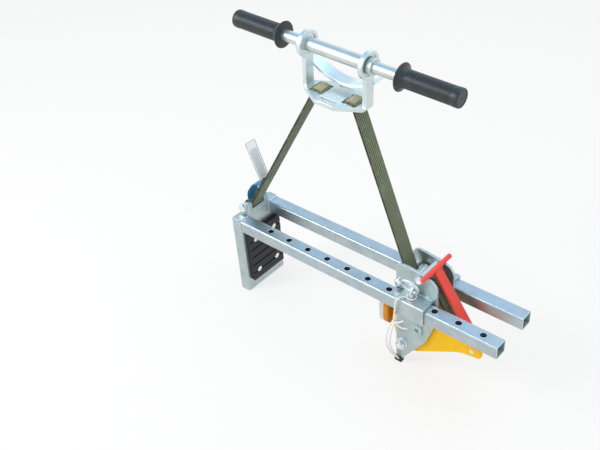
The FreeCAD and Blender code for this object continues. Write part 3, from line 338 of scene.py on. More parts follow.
# Powder coat on steel: an even semi-gloss skin with fine orange peel, rubbed thin on the edges
# where the steel shows.
def powder_coat(name, colour, deep, worn):
    tree = new_material(name)
    place = add(tree, "ShaderNodeTexCoord").outputs["Object"]
    peel = add(tree, "ShaderNodeTexNoise", values={"Scale": grains(1.8), "Detail": 1.0},
               links={"Vector": place}).outputs["Fac"]
    shade = add(tree, "ShaderNodeTexNoise", values={"Scale": grains(45), "Detail": 3.0},
                links={"Vector": place}).outputs["Fac"]
    chips = add(tree, "ShaderNodeTexNoise",
                values={"Scale": grains(5), "Detail": 5.0, "Roughness": 0.7},
                links={"Vector": place}).outputs["Fac"]
    uneven = add(tree, "ShaderNodeMapRange", values={"From Min": 0.35, "From Max": 0.7},
                 links={"Value": shade}).outputs["Result"]
    skin = add(tree, "ShaderNodeMixRGB", values={"Color1": linear(colour), "Color2": linear(deep)},
               links={"Fac": uneven}).outputs["Color"]
    edge, flatness = rounded_edges(tree, 1.4)
    edge_mask = add(tree, "ShaderNodeMapRange", values={"From Min": 0.96, "From Max": 0.75},
                 links={"Value": flatness}).outputs["Result"]
    patchy = add(tree, "ShaderNodeMapRange", values={"From Min": 0.5, "From Max": 0.62},
                 links={"Value": chips}).outputs["Result"]
    bare = add(tree, "ShaderNodeMath", {"operation": "MULTIPLY"},
               links={0: edge_mask, 1: patchy}).outputs["Value"]
    surface = add(tree, "ShaderNodeMixRGB", values={"Color2": linear(worn)},
                  links={"Fac": bare, "Color1": skin}).outputs["Color"]
    relief = add(tree, "ShaderNodeBump", values={"Strength": 0.2, "Distance": 0.0002},
                 links={"Height": peel, "Normal": edge}).outputs["Normal"]
    gloss = add(tree, "ShaderNodeMapRange", values={"To Min": 0.32, "To Max": 0.46},
                links={"Value": shade}).outputs["Result"]
    shader = add(tree, "ShaderNodeBsdfPrincipled", values={"IOR": 1.5, "Specular IOR Level": 0.22},
                 links={"Base Color": surface, "Roughness": gloss, "Normal": relief})
    add(tree, "ShaderNodeOutputMaterial", links={"Surface": shader.outputs["BSDF"]})
    return bpy.data.materials[name]


# Moulded rubber: a fine matt skin, a little dusty and scuffed.
def rubber(name, colour, dust, rough, grit):
    tree = new_material(name)
    place = add(tree, "ShaderNodeTexCoord").outputs["Object"]
    fine = add(tree, "ShaderNodeTexNoise", values={"Scale": grains(grit), "Detail": 3.0},
               links={"Vector": place}).outputs["Fac"]
    scuffs = add(tree, "ShaderNodeTexNoise",
                 values={"Scale": grains(16), "Detail": 5.0, "Roughness": 0.65},
                 links={"Vector": place}).outputs["Fac"]
    dusty = add(tree, "ShaderNodeMapRange",
                values={"From Min": 0.45, "From Max": 0.8, "To Max": 0.6},
                links={"Value": scuffs}).outputs["Result"]
    skin = add(tree, "ShaderNodeMixRGB", values={"Color1": linear(colour), "Color2": linear(dust)},
               links={"Fac": dusty}).outputs["Color"]
    dull = add(tree, "ShaderNodeMapRange", values={"To Min": rough - 0.08, "To Max": rough + 0.12},
               links={"Value": scuffs}).outputs["Result"]
    relief = add(tree, "ShaderNodeBump", values={"Strength": 0.3, "Distance": 0.0003},
                 links={"Height": fine}).outputs["Normal"]
    shader = add(tree, "ShaderNodeBsdfPrincipled", values={"IOR": 1.52},
                 links={"Base Color": skin, "Roughness": dull, "Normal": relief})
    add(tree, "ShaderNodeOutputMaterial", links={"Surface": shader.outputs["BSDF"]})
    return bpy.data.materials[name]


# Woven polyester webbing: thick ribs across, strands along, a darker band at both edges that is
# painted shade, and a dusty wear. Real ribs are 1.6 to 2.4 mm apart, too fine to show, so they are
# drawn about twice as coarse. The UV map "weave" holds metres across and along the strap.
def woven(name, light, dark, edge_shade, dust, width, rib, strand):
    tree = new_material(name)
    place = add(tree, "ShaderNodeTexCoord").outputs["Object"]
    weave = add(tree, "ShaderNodeUVMap", {"uv_map": "weave"}).outputs["UV"]
    ribs = add(tree, "ShaderNodeTexWave", {"wave_type": "BANDS", "bands_direction": "Y"},
               {"Scale": bands(rib), "Distortion": 0.6, "Detail": 1.0},
               {"Vector": weave}).outputs["Fac"]
    strands = add(tree, "ShaderNodeTexWave", {"wave_type": "BANDS", "bands_direction": "X"},
                  {"Scale": bands(strand), "Distortion": 0.4, "Detail": 1.0},
                  {"Vector": weave}).outputs["Fac"]
    height = add(tree, "ShaderNodeMath", {"operation": "MULTIPLY"},
                 links={0: ribs, 1: strands}).outputs["Value"]
    threads = add(tree, "ShaderNodeMixRGB",
                  values={"Color1": linear(dark), "Color2": linear(light)},
                  links={"Fac": height}).outputs["Color"]
    across = add(tree, "ShaderNodeSeparateXYZ", links={"Vector": weave}).outputs["X"]
    from_middle = add(tree, "ShaderNodeMath", {"operation": "SUBTRACT"}, {1: width / 2000},
                      {0: across}).outputs["Value"]
    out = add(tree, "ShaderNodeMath", {"operation": "ABSOLUTE"},
              links={0: from_middle}).outputs["Value"]
    # Painted shade: a darker band along both edges of the strap, standing in for the shade on them.
    at_edge = add(tree, "ShaderNodeMapRange",
                  values={"From Min": 0.44 * width / 1000, "From Max": 0.47 * width / 1000},
                  links={"Value": out}).outputs["Result"]
    edged = add(tree, "ShaderNodeMixRGB", values={"Color2": linear(edge_shade)},
                links={"Fac": at_edge, "Color1": threads}).outputs["Color"]
    wear = add(tree, "ShaderNodeTexNoise",
               values={"Scale": grains(22), "Detail": 6.0, "Roughness": 0.7},
               links={"Vector": place}).outputs["Fac"]
    worn = add(tree, "ShaderNodeMapRange",
               values={"From Min": 0.5, "From Max": 0.78, "To Max": 0.5},
               links={"Value": wear}).outputs["Result"]
    colour = add(tree, "ShaderNodeMixRGB", values={"Color2": linear(dust)},
                 links={"Fac": worn, "Color1": edged}).outputs["Color"]
    relief = add(tree, "ShaderNodeBump", values={"Strength": 0.8, "Distance": 0.0006},
                 links={"Height": height}).outputs["Normal"]
    shader = add(tree, "ShaderNodeBsdfPrincipled",
                 values={"Roughness": 0.85, "IOR": 1.5, "Sheen Weight": 0.15,
                         "Sheen Roughness": 0.5},
                 links={"Base Color": colour, "Normal": relief})
    add(tree, "ShaderNodeOutputMaterial", links={"Surface": shader.outputs["BSDF"]})
    return bpy.data.materials[name]


# Braided polyamide cord and sewing thread: strands laid on the slant, shadowed where they cross.
def braided(name, light, shade):
    tree = new_material(name)
    place = add(tree, "ShaderNodeTexCoord").outputs["Object"]
    slant = add(tree, "ShaderNodeMapping", values={"Rotation": (0.6, 0.5, 0.0)},
                links={"Vector": place}).outputs["Vector"]
    lay = add(tree, "ShaderNodeTexWave", {"wave_type": "BANDS", "bands_direction": "Z"},
              {"Scale": bands(1.3), "Distortion": 0.8, "Detail": 1.0},
              {"Vector": slant}).outputs["Fac"]
    fluff = add(tree, "ShaderNodeTexNoise", values={"Scale": grains(9), "Detail": 4.0},
                links={"Vector": place}).outputs["Fac"]
    strands = add(tree, "ShaderNodeMapRange", values={"To Max": 0.7},
                  links={"Value": lay}).outputs["Result"]
    colour = add(tree, "ShaderNodeMixRGB",
                 values={"Color1": linear(light), "Color2": linear(shade)},
                 links={"Fac": strands}).outputs["Color"]
    dull = add(tree, "ShaderNodeMapRange", values={"To Min": 0.7, "To Max": 0.95},
               links={"Value": fluff}).outputs["Result"]
    relief = add(tree, "ShaderNodeBump", {"invert": True}, {"Strength": 0.6, "Distance": 0.0004},
                 {"Height": lay}).outputs["Normal"]
    shader = add(tree, "ShaderNodeBsdfPrincipled", values={"IOR": 1.5, "Sheen Weight": 0.1},
                 links={"Base Color": colour, "Roughness": dull, "Normal": relief})
    add(tree, "ShaderNodeOutputMaterial", links={"Surface": shader.outputs["BSDF"]})
    return bpy.data.materials[name]


# Clear vinyl film: glossy, a little wavy, with a faint cool cast.
def vinyl(name, colour, alpha):
    tree = new_material(name)
    place = add(tree, "ShaderNodeTexCoord").outputs["Object"]
    waves = add(tree, "ShaderNodeTexNoise", values={"Scale": grains(14), "Detail": 2.0},
                links={"Vector": place}).outputs["Fac"]
    relief = add(tree, "ShaderNodeBump", values={"Strength": 0.25, "Distance": 0.0006},
                 links={"Height": waves}).outputs["Normal"]
    haze = add(tree, "ShaderNodeMapRange", values={"To Min": 0.06, "To Max": 0.2},
               links={"Value": waves}).outputs["Result"]
    shader = add(tree, "ShaderNodeBsdfPrincipled",
                 values={"Base Color": linear(colour), "Alpha": alpha, "IOR": 1.45},
                 links={"Roughness": haze, "Normal": relief})
    add(tree, "ShaderNodeOutputMaterial", links={"Surface": shader.outputs["BSDF"]})
    return bpy.data.materials[name]


# Plain card inside the film: pale, fibrous and bare.
def card(name, light, shade):
    tree = new_material(name)
    place = add(tree, "ShaderNodeTexCoord").outputs["Object"]
    fibres = add(tree, "ShaderNodeTexNoise", values={"Scale": grains(3), "Detail": 5.0},
                 links={"Vector": place}).outputs["Fac"]
    colour = add(tree, "ShaderNodeMixRGB",
                 values={"Color1": linear(light), "Color2": linear(shade)},
                 links={"Fac": fibres}).outputs["Color"]
    shader = add(tree, "ShaderNodeBsdfPrincipled", values={"Roughness": 0.8},
                 links={"Base Color": colour})
    add(tree, "ShaderNodeOutputMaterial", links={"Surface": shader.outputs["BSDF"]})
    return bpy.data.materials[name]


RAIL_MIDDLE_Y = abs(end_of("front_rail", 1, 0) + end_of("front_rail", 1, 1)) / 2
RAIL_BORE_HALF = 12.4
RAIL_BORE = (RAIL_MIDDLE_Y, middle("front_rail")[1], RAIL_BORE_HALF)
zinc_rail = zinc("bright_zinc_on_drawn_square_tube", "#bfcacd", "#aebbc0", "#b4c7d2",
                 smooth=0.38, rough=0.46, bore=RAIL_BORE)
zinc_bar = zinc("bright_zinc_on_drawn_round_tube", "#d6dcd8", "#c5ccca", "#ccd5d2",
                smooth=0.36, rough=0.44)
# Painted light and shade: one plate zinc in two copies. The darker copy is painted shade for the
# darker reflections on the carriage; the lighter copy is painted light on the yoke.
zinc_plate_painted_shade = zinc("bright_zinc_on_folded_plate", "#c2cdcd", "#aebcbd", "#b6c6c7",
                  smooth=0.4, rough=0.5)
zinc_yoke_painted_light = zinc("bright_zinc_on_bent_flat_bar", "#dde8e8", "#cddada", "#d4e4e3",
                 smooth=0.36, rough=0.46)
zinc_bolt = zinc("zinc_on_turned_fasteners", "#eef0ef", "#dcdfde", "#eae7dc",
                 smooth=0.28, rough=0.36)
yellow_coat = powder_coat("yellow_powder_coat_on_steel", "#ffc908", "#fdbf05", "#8b8577")
orange_coat = powder_coat("orange_powder_coat_on_steel", "#dd8c1c", "#cd7e16", "#857d70")
red_coat = powder_coat("red_powder_coat_on_steel", "#ff5e50", "#f55040", "#8a7c78")
grip_rubber = rubber("black_moulded_grip_rubber", "#24292d", "#434c53", rough=0.38, grit=0.9)
foot_rubber = rubber("black_moulded_foot_rubber", "#17181a", "#2f3032", rough=0.6, grit=1.4)
pad_rubber = rubber("grey_moulded_pad_rubber", "#d3d6d6", "#bcbfbe", rough=0.6, grit=1.4)
sling_weave = woven("olive_woven_sling_webbing", "#aeb896", "#4a553b", "#2f3625", "#a2aa90",
                    SLING_WIDTH, rib=4.2, strand=5.0)
loop_weave = woven("worn_olive_sling_webbing", "#e6e2c4", "#9c9876", "#7f7c5e", "#e8e2c8",
                   LOOP_WIDTH, rib=4.2, strand=5.0)
label_weave = woven("blue_woven_label", "#52c4f6", "#147fc2", "#136fae", "#62c2ee",
                    LABEL_WIDTH, rib=3.2, strand=3.0)
thread = braided("olive_sewing_thread", "#c2c4aa", "#94977f")
cord_braid = braided("white_braided_cord", "#ffffff", "#eeece5")
tag_film = vinyl("clear_vinyl_film", "#eef5f8", alpha=0.3)
tag_seam = vinyl("welded_vinyl_seam", "#b4c0c6", alpha=0.75)
tag_card = card("bare_white_card", "#f2f7f9", "#e2eaee")


# Camera at the photograph's place: metres, degrees, and the focal length in pixels
CAMERA_PLACE = (0.8081, -1.0294, 1.2989)
CAMERA_TURN = 43.981
CAMERA_DROP = 37.207
CAMERA_LEAN = -5.076
FOCAL_LENGTH = 830.37
IMAGE_WIDTH = 600
SENSOR_WIDTH = 36.0


def photo_camera():
    data = bpy.data.cameras.new("photo_camera")
    data.sensor_fit = "HORIZONTAL"
    data.sensor_width = SENSOR_WIDTH
    data.lens = SENSOR_WIDTH * FOCAL_LENGTH / IMAGE_WIDTH
    data.clip_start = 0.01
    camera = bpy.data.objects.new("photo_camera", data)
    bpy.context.scene.collection.objects.link(camera)
    turn = math.radians(CAMERA_TURN)
    drop = math.radians(CAMERA_DROP)
    lean = math.radians(CAMERA_LEAN)
    ahead = Vector((-math.sin(turn) * math.cos(drop), math.cos(turn) * math.cos(drop),
                    -math.sin(drop)))
    level = ahead.cross(Vector((0, 0, 1))).normalized()
    upright = level.cross(ahead)
    right = level * math.cos(lean) + upright * math.sin(lean)
    up = upright * math.cos(lean) - level * math.sin(lean)
    facing = Matrix((right, up, -ahead)).transposed().to_4x4()
    camera.matrix_world = Matrix.Translation(CAMERA_PLACE) @ facing
    bpy.context.scene.camera = camera


photo_camera()

# Safety cord: the control points of its runs, its knot, and its loop and hitch on the lock bolt
CORD_DIAMETER = 3.5
DROP = [(131.2, -52.0, 213.4), (126.6, -58.6, 215.2), (123.2, -65.0, 217.4), (121.0, -71.4, 214.6),
        (119.6, -74.2, 206.0), (118.2, -73.4, 192.0), (115.2, -70.4, 172.0), (111.0, -66.0, 152.0)]
OUTER = [(106.4, -63.4, 143.2), (99.9, -64.0, 130.0), (93.9, -63.4, 112.0), (88.4, -61.6, 90.0),
         (84.8, -57.6, 68.0), (85.0, -52.6, 48.0), (88.4, -46.6, 31.8), (91.8, -40.4, 19.5),
         (93.5, -33.9, 10.0)]
INNER = [(109.6, -62.4, 141.8), (105.6, -62.6, 128.0), (100.0, -60.8, 109.0), (94.6, -57.6, 86.0),
         (90.4, -53.4, 64.3), (89.8, -48.4, 46.8), (93.6, -43.0, 30.0), (97.8, -38.4, 17.6),
         (100.0, -33.9, 9.0)]
HIGH_TAIL = [(113.2, -66.4, 147.6), (120.0, -68.6, 151.0), (128.0, -69.6, 157.6),
             (136.0, -69.4, 166.0)]
LOW_TAIL = [(112.6, -66.0, 144.2), (121.0, -66.6, 141.6), (131.0, -65.8, 139.6),
            (141.0, -63.0, 141.6)]
KNOT = (109.8, -64.8, 146.4)
KNOT_TURN_RADIUS = 2.7
KNOT_CORD_RADIUS = 1.7
NECK = (138.5, -46.5, 213.15)
NECK_LOOP_RADIUS = 8.75
NECK_CORD_RADIUS = 1.72
HITCH = (131.6, -51.4, 214.3)
HITCH_RADIUS = 2.2
HITCH_CORD_RADIUS = 1.2


def cord_line(name, points):
    """Round cord on a smooth line with these points as its control points."""
    curve = bpy.data.curves.new(name, "CURVE")
    curve.dimensions = "3D"
    line = curve.splines.new("NURBS")
    line.points.add(len(points) - 1)
    for point, place in zip(line.points, points):
        point.co = (*mm(*place), 1.0)
    line.order_u = 3
    line.use_endpoint_u = True
    line.resolution_u = 10
    curve.bevel_depth = CORD_DIAMETER / 2000
    curve.bevel_resolution = 4
    curve.use_fill_caps = True
    piece = bpy.data.objects.new(name, curve)
    bpy.context.scene.collection.objects.link(piece)
    return dressed(piece, cord_braid, "carriage")


def cord_ring(name, radius, cord_radius, steps, sides):
    """One flat turn of cord about the Z axis."""
    bpy.ops.mesh.primitive_torus_add(major_segments=steps, minor_segments=sides,
                                     major_radius=radius / 1000, minor_radius=cord_radius / 1000)
    return named(name)


def cord_knot():
    """Overhand knot: three turns of the cord drawn over each other."""
    first = cord_ring("cord_turn", KNOT_TURN_RADIUS, KNOT_CORD_RADIUS, steps=28, sides=10)
    bpy.ops.object.mode_set(mode="EDIT")
    pick(lambda p: p.x > 0)
    bpy.ops.transform.translate(value=(0.0003, 0.0, 0.0009))
    bpy.ops.object.mode_set(mode="OBJECT")
    turns = [first, copy_of(first, "cord_turn_over"), copy_of(first, "cord_turn_under")]
    for turn, lean, up in zip(turns, ((20, 15), (75, -20), (-40, 60)), (-0.9, 0.0, 0.9)):
        placed(turn, Matrix.Translation(mm(KNOT[0], KNOT[1], KNOT[2] + up)) @ leaning(*lean))
    knot = one_piece("cord_knot", turns)
    smoothed(knot, 60)
    return dressed(knot, cord_braid, "carriage", ["tether_knot"])


def cord_neck_loop():
    """Loop of the cord round the lock bolt's neck, with a small hitch where the cord leaves it."""
    loop = cord_ring("cord_neck_loop", NECK_LOOP_RADIUS, NECK_CORD_RADIUS, steps=48, sides=12)
    bpy.ops.object.mode_set(mode="EDIT")
    pick(lambda p: p.x < -0.004 and p.y < -0.002)
    bpy.ops.transform.translate(value=(-0.0006, -0.0005, 0.0004))
    bpy.ops.object.mode_set(mode="OBJECT")
    placed(loop, Matrix.Translation(mm(*NECK)))
    hitch = cord_ring("cord_hitch", HITCH_RADIUS, HITCH_CORD_RADIUS, steps=20, sides=10)
    placed(hitch, Matrix.Translation(mm(*HITCH)) @ leaning(90, 50))
    loop = one_piece("cord_neck_loop", [loop, hitch])
    smoothed(loop, 60)
    return dressed(loop, cord_braid, "carriage", ["tether_eye"])


knot = cord_knot()
neck_loop = cord_neck_loop()
drop_cord = cord_line("cord_drop", DROP)
outer_cord = cord_line("cord_outer_run", OUTER)
inner_cord = cord_line("cord_inner_run", INNER)
high_tail = cord_line("cord_high_tail", HIGH_TAIL)
low_tail = cord_line("cord_low_tail", LOW_TAIL)
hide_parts("tether_drop")
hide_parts("tether_outer")
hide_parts("tether_inner")
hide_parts("tether_tails")
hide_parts("tether_tails")


# Webbing
def webbing(name, line, width=SLING_WIDTH, thick=SLING_THICK, edge=SLING_EDGE):
    """Strap along a line of (x, z) points, with its width across the tongs and round edges."""
    points = [at(spot) for spot in line]
    bpy.ops.mesh.primitive_plane_add(size=1)
    strap = named(name)
    bpy.ops.object.mode_set(mode="EDIT")
    pick(lambda p: p.x > 0)
    bpy.ops.mesh.delete(type="VERT")
    bpy.ops.mesh.select_all(action="SELECT")
    bpy.ops.transform.resize(value=(1.0, width / 1000, 1.0))
    bpy.ops.transform.translate(value=points[0] + Vector((0.5, 0, 0)))
    run = [0.0]
    for here, there in zip(points, points[1:]):
        bpy.ops.mesh.extrude_edges_move(TRANSFORM_OT_translate={"value": there - here})
        run.append(run[-1] + (there - here).length)
    bpy.ops.object.mode_set(mode="OBJECT")
    weave = strap.data.uv_layers.new(name="weave")
    for corner in strap.data.loops:
        y = strap.data.vertices[corner.vertex_index].co.y
        weave.data[corner.index].uv = (y + width / 2000, run[corner.vertex_index // 2])
    finished_with(strap, "SOLIDIFY", thickness=thick / 1000, offset=0.0, use_even_offset=True)
    finished_with(strap, "BEVEL", width=edge / 1000, segments=3, limit_method="ANGLE",
                  angle_limit=math.radians(50))
    smoothed(strap, 40)
    return strap


def beside(foot, top, run, out):
    """Point along a leg from its foot and out from its middle to the left."""
    dx = top[0] - foot[0]
    dz = top[1] - foot[1]
    length = math.hypot(dx, dz)
    return (foot[0] + dx / length * run - dz / length * out,
            foot[1] + dz / length * run + dx / length * out)


def sewn_eye(pin, radius, top, start, end):
    """Line of a strap from its top down to a pin, round it and back up on itself."""
    foot_angle = touch(pin, radius, top, -1)
    foot = on_circle(pin, radius, foot_angle)
    down = [beside(foot, top, run, 0) for run in (end, end * 0.6, start)]
    back = [beside(foot, top, run, SLING_LAYER) for run in (start, (start + end) / 2, end)]
    leave = touch(pin, radius, back[0], 1)
    while leave > foot_angle:
        leave -= 360
    return [top] + down + arc(pin, radius, foot_angle, leave, 22) + back


STITCH_PITCH = 6.0
STITCH_RADIUS = 0.5
STITCH_STRETCH = (1.0, 0.9, 4.2)


def stitch_rows(name, foot, top, rows, run_start, run_end, outs):
    """Rows of stitches along a leg: one stitch is modelled and repeated, and its row copied."""
    bpy.ops.mesh.primitive_uv_sphere_add(segments=8, ring_count=5, radius=STITCH_RADIUS / 1000)
    first = named("stitch_row")
    bpy.ops.object.mode_set(mode="EDIT")
    bpy.ops.mesh.select_all(action="SELECT")
    bpy.ops.transform.resize(value=STITCH_STRETCH)
    bpy.ops.object.mode_set(mode="OBJECT")
    repeated(first, int((run_end - run_start) / STITCH_PITCH), STITCH_PITCH)
    places = []
    for out in outs:
        start = beside(foot, top, run_start + 2, out)
        end = beside(foot, top, run_end, out)
        places += [along(at(start, y), at(end, y)) for y in rows]
    pieces = [first] + [copy_of(first, "stitch_row_copy") for place in places[1:]]
    for piece, place in zip(pieces, places):
        placed(piece, place)
    stitches = one_piece(name, pieces)
    smoothed(stitches, 60)
    return stitches


# Left leg: sewn round the anchor bolt and doubled over 112 mm
left_points = sewn_eye(ANCHOR, ANCHOR_WRAP, LEFT_SLOT, start=16, end=112)
left_strap = webbing("left_leg_webbing", left_points)
dressed(left_strap, sling_weave, "left_leg", ["strap_left_leg"])
left_stitches = stitch_rows("left_leg_stitches", LEFT_FOOT, LEFT_SLOT, rows=(-14, -5, 5, 14),
                            run_start=24, run_end=108, outs=(-2.0, 6.0))
dressed(left_stitches, thread, "left_leg")


# Right leg: from inside the yoke's slot under the low roller and over the high one
def right_line():
    crossing = touch(LOW_ROLLER, LOW_WRAP + HIGH_WRAP, HIGH_ROLLER, -1)
    tail = touch(HIGH_ROLLER, HIGH_WRAP, STRAP_PIN, 1)
    top = [hung(SLOT_SPACING - 2.4, 9.0), hung(SLOT_SPACING - 2.2, 6.0), RIGHT_SLOT]
    return (top + arc(LOW_ROLLER, LOW_WRAP, RIGHT_FOOT_ANGLE, crossing + 360, 16)
            + arc(HIGH_ROLLER, HIGH_WRAP, crossing + 180, tail, 12))


right_points = right_line()
right_strap = webbing("right_leg_webbing", right_points)
dressed(right_strap, sling_weave, None, ["strap_right_leg", "strap_bend"])
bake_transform(right_strap)

# Tail: from the high roller down to its sewn eye on the lever
tail_top = right_points[-1]
tail_points = sewn_eye(STRAP_PIN, PIN_WRAP, tail_top, start=15, end=42)
tail_strap = webbing("tail_webbing", tail_points)
dressed(tail_strap, sling_weave, None, ["strap_tail"])
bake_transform(tail_strap)


# Top: two loops over the yoke's base plate, one run below it, and an end inside the right leg that
# fills the slot when the leg swings
def yoke_line():
    half = [(-50, 2.4), (-48, 6.0), (-47.4, 9.0), (-47.4, 12.0), (-46.85, 13.35), (-45.5, 13.95),
            (-42, 14.5), (-38.5, 14.7), (-35, 14.5), (-31.5, 13.95), (-30.15, 13.35),
            (-29.6, 12.0), (-29.6, 5.0), (-29, 3.0), (-27, 1.8), (-12, 1.6)]
    other = [(-x, z) for x, z in reversed(half)]
    end = [beside(RIGHT_SLOT, RIGHT_FOOT, run, 0.0) for run in (1.0, 8.0)]
    return [hung(SLOT_SPACING / 2 + x, z) for x, z in half + [(0, 1.6)] + other] + end


yoke_strap = webbing("yoke_webbing", yoke_line(), LOOP_WIDTH, thick=3.6, edge=1.1)
dressed(yoke_strap, loop_weave, "yoke", ["strap_top"])


# Label and tag on the left leg
TAG_RUN = 85
TAG_OUT = 2.83
TAG_LEAN = -22


def blue_label():
    """Textile loop that stands off the leg, as (distance up the leg, distance off its middle)."""
    route = [(11, 9.4), (13, 13.5), (19, 19.0), (28, 22.4), (37, 23.8), (44, 22.0), (51, 22.8),
             (60, 21.6), (68, 17.2), (74, 11.0), (77, 6.8)]
    line = [beside(LEFT_FOOT, LEFT_SLOT, run, out) for run, out in route]
    label = webbing("blue_label", line, LABEL_WIDTH, thick=1.2, edge=0.4)
    finished_with(label, "SUBSURF", levels=1, render_levels=1)
    smoothed(label, 50)
    return dressed(label, label_weave, "left_leg", ["strap_label"])


def tag_leaf(name, width, length, thick, corner, lift):
    """Flat leaf with rounded corners, drawn upright from its foot at the origin."""
    bpy.ops.mesh.primitive_cube_add(size=1)
    leaf = named(name)
    bpy.ops.object.mode_set(mode="EDIT")
    bpy.ops.mesh.select_all(action="SELECT")
    bpy.ops.transform.resize(value=(thick / 1000, width / 1000, length / 1000))
    bpy.ops.transform.translate(value=(0, 0, (length / 2 + lift) / 1000))
    bpy.ops.object.mode_set(mode="OBJECT")
    edges = leaf.data.attributes.new("bevel_weight_edge", "FLOAT", "EDGE")
    for edge in leaf.data.edges:
        a, b = [leaf.data.vertices[i].co for i in edge.vertices]
        edges.data[edge.index].value = 1.0 if abs(a.x - b.x) > thick / 2000 else 0.0
    finished_with(leaf, "BEVEL", width=corner / 1000, segments=5, limit_method="WEIGHT")
    smoothed(leaf, 40)
    return leaf


def clear_tag():
    """Film with a bare card in it and a welded seam round its edge, leaning off the leg."""
    film = tag_leaf("tag_film", width=28, length=91, thick=1.1, corner=3, lift=5)
    leaf = tag_leaf("tag_card", width=21, length=66, thick=0.35, corner=1.5, lift=12)
    seam = tag_leaf("tag_seam", width=27.4, length=90.4, thick=0.9, corner=2.8, lift=5.3)
    finished_with(seam, "WIREFRAME", thickness=0.0009)
    foot = beside(LEFT_FOOT, LEFT_SLOT, TAG_RUN, TAG_OUT)
    for piece in (film, leaf, seam):
        placed(piece, Matrix.Translation(at(foot)) @ leaning(0, TAG_LEAN))
    dressed(film, tag_film, "left_leg", ["strap_tag"])
    dressed(leaf, tag_card, "left_leg")
    dressed(seam, tag_seam, "left_leg")


label = blue_label()
clear_tag()

# Ribbed grips, weld beads, washers and thread ends
GRIP_FACE = 131.0
GRIP_LENGTH = 119.0
RIB_START = 14.0
RIB_PITCH = 3.0
RIB_COUNT = 30
RIPPLE_SHARE = 0.62
RAIL_WELD_STOP = 3.0
PLATE_WELD_STOP = 2.0
HANDLE_WELD_DOWN = 5.0
HANDLE_WELD_ASIDE = 3.4
HANDLE_WELD_HALF = 11.0


def turned(name, profile, steps):
    """Piece turned about the Z axis from a profile of (radius, height) points."""
    bpy.ops.mesh.primitive_plane_add(size=1)
    piece = named(name)
    bpy.ops.object.mode_set(mode="EDIT")
    pick(lambda p: p.x > 0 or p.y > 0)
    bpy.ops.mesh.delete(type="VERT")
    bpy.ops.mesh.select_all(action="SELECT")
    points = [at(spot) for spot in profile]
    bpy.ops.transform.translate(value=points[0] + Vector((0.5, 0.5, 0)))
    for here, there in zip(points, points[1:]):
        bpy.ops.mesh.extrude_vertices_move(TRANSFORM_OT_translate={"value": there - here})
    bpy.ops.mesh.select_all(action="SELECT")
    bpy.ops.mesh.spin(steps=steps, angle=2 * math.pi, center=(0, 0, 0), axis=(0, 0, 1))
    bpy.ops.mesh.select_all(action="SELECT")
    bpy.ops.mesh.remove_doubles(threshold=0.00002)
    bpy.ops.mesh.normals_make_consistent(inside=False)
    bpy.ops.object.mode_set(mode="OBJECT")
    smoothed(piece, 35)
    return piece


def grip_profile():
    """Socket for the bar, flange, flare, ribs, and an end disc with a raised edge and a dimple."""
    profile = [(0.0, 114.8), (11.05, 114.8), (11.05, 0.0), (24.2, 0.0), (25.3, 0.5), (25.8, 1.7),
               (25.4, 2.8), (24.4, 3.5), (22.8, 3.9), (20.8, 5.4), (19.2, 7.6), (18.0, 10.2),
               (17.1, 13.0)]
    for i in range(RIB_COUNT):
        low = RIB_START + i * RIB_PITCH
        profile += [(16.6, low), (17.0, low + 0.5), (17.0, low + 2.1), (16.6, low + 2.6)]
    return profile + [(16.8, 105.2), (17.2, 106.2), (17.4, 107.4), (17.5, 115.4), (17.3, 117.2),
                      (16.7, 118.5), (15.9, 119.0), (15.2, 118.9), (14.7, 118.2), (2.0, 118.2),
                      (1.4, 117.4), (0.0, 117.2)]


def grips():
    right = turned("right_grip_rubber", grip_profile(), 56)
    left = copy_of(right, "left_grip_rubber")
    for grip, side, node in ((right, 1, "right_grip"), (left, -1, "left_grip")):
        ends = [at((BAR[0] + side * out * BAR_AXIS[0], BAR[1] + side * out * BAR_AXIS[2]))
                for out in (GRIP_FACE, GRIP_FACE + GRIP_LENGTH)]
        placed(grip, along(*ends))
        dressed(grip, grip_rubber, "handlebar", [node])


def weld(name, runs, size, material, body):
    """Weld beads along straight runs: one ripple is modelled, copied and laid over the last one."""
    bpy.ops.mesh.primitive_uv_sphere_add(segments=10, ring_count=6, radius=size / 1000)
    first = named("ripple")
    bpy.ops.object.mode_set(mode="EDIT")
    bpy.ops.mesh.select_all(action="SELECT")
    bpy.ops.transform.resize(value=(1.0, 1.0, 0.6))
    pick(lambda p: p.z > 0)
    bpy.ops.transform.translate(value=(0.0, 0.0, 0.0002 * size))
    bpy.ops.object.mode_set(mode="OBJECT")
    pitch = RIPPLE_SHARE * size
    beads = [first] + [copy_of(first, "ripple_copy") for run in runs[1:]]
    for bead, (start, end) in zip(beads, runs):
        repeated(bead, int((Vector(end) - Vector(start)).length / pitch) + 1, pitch)
        placed(bead, along(mm(*start), mm(*end)))
    piece = one_piece(name, beads)
    smoothed(piece, 60)
    return dressed(piece, material, body)


def frame_welds():
    """Round the rails' ends on the jaw, and along the anchor bracket's ears."""
    x = end_of("front_rail", 0, 0) + 0.4
    low = end_of("front_rail", 2, 0)
    high = end_of("front_rail", 2, 1)
    stop = RAIL_WELD_STOP
    runs = []
    for node in ("front_rail", "rear_rail"):
        front = end_of(node, 1, 0)
        back = end_of(node, 1, 1)
        runs += [((x, front + stop, z), (x, back - stop, z)) for z in (high, low)]
        runs += [((x - 0.8, y, low + stop), (x - 0.8, y, high - stop)) for y in (front, back)]
    left = end_of("anchor_bracket", 0, 0) + PLATE_WELD_STOP
    right = end_of("anchor_bracket", 0, 1) - PLATE_WELD_STOP
    foot = end_of("anchor_bracket", 2, 0)
    for y in (end_of("anchor_bracket", 1, 0), end_of("anchor_bracket", 1, 1)):
        runs.append(((left, y, foot), (right, y, foot)))
    weld("jaw_welds", runs, size=2.2, material=zinc_plate_painted_shade, body="frame")


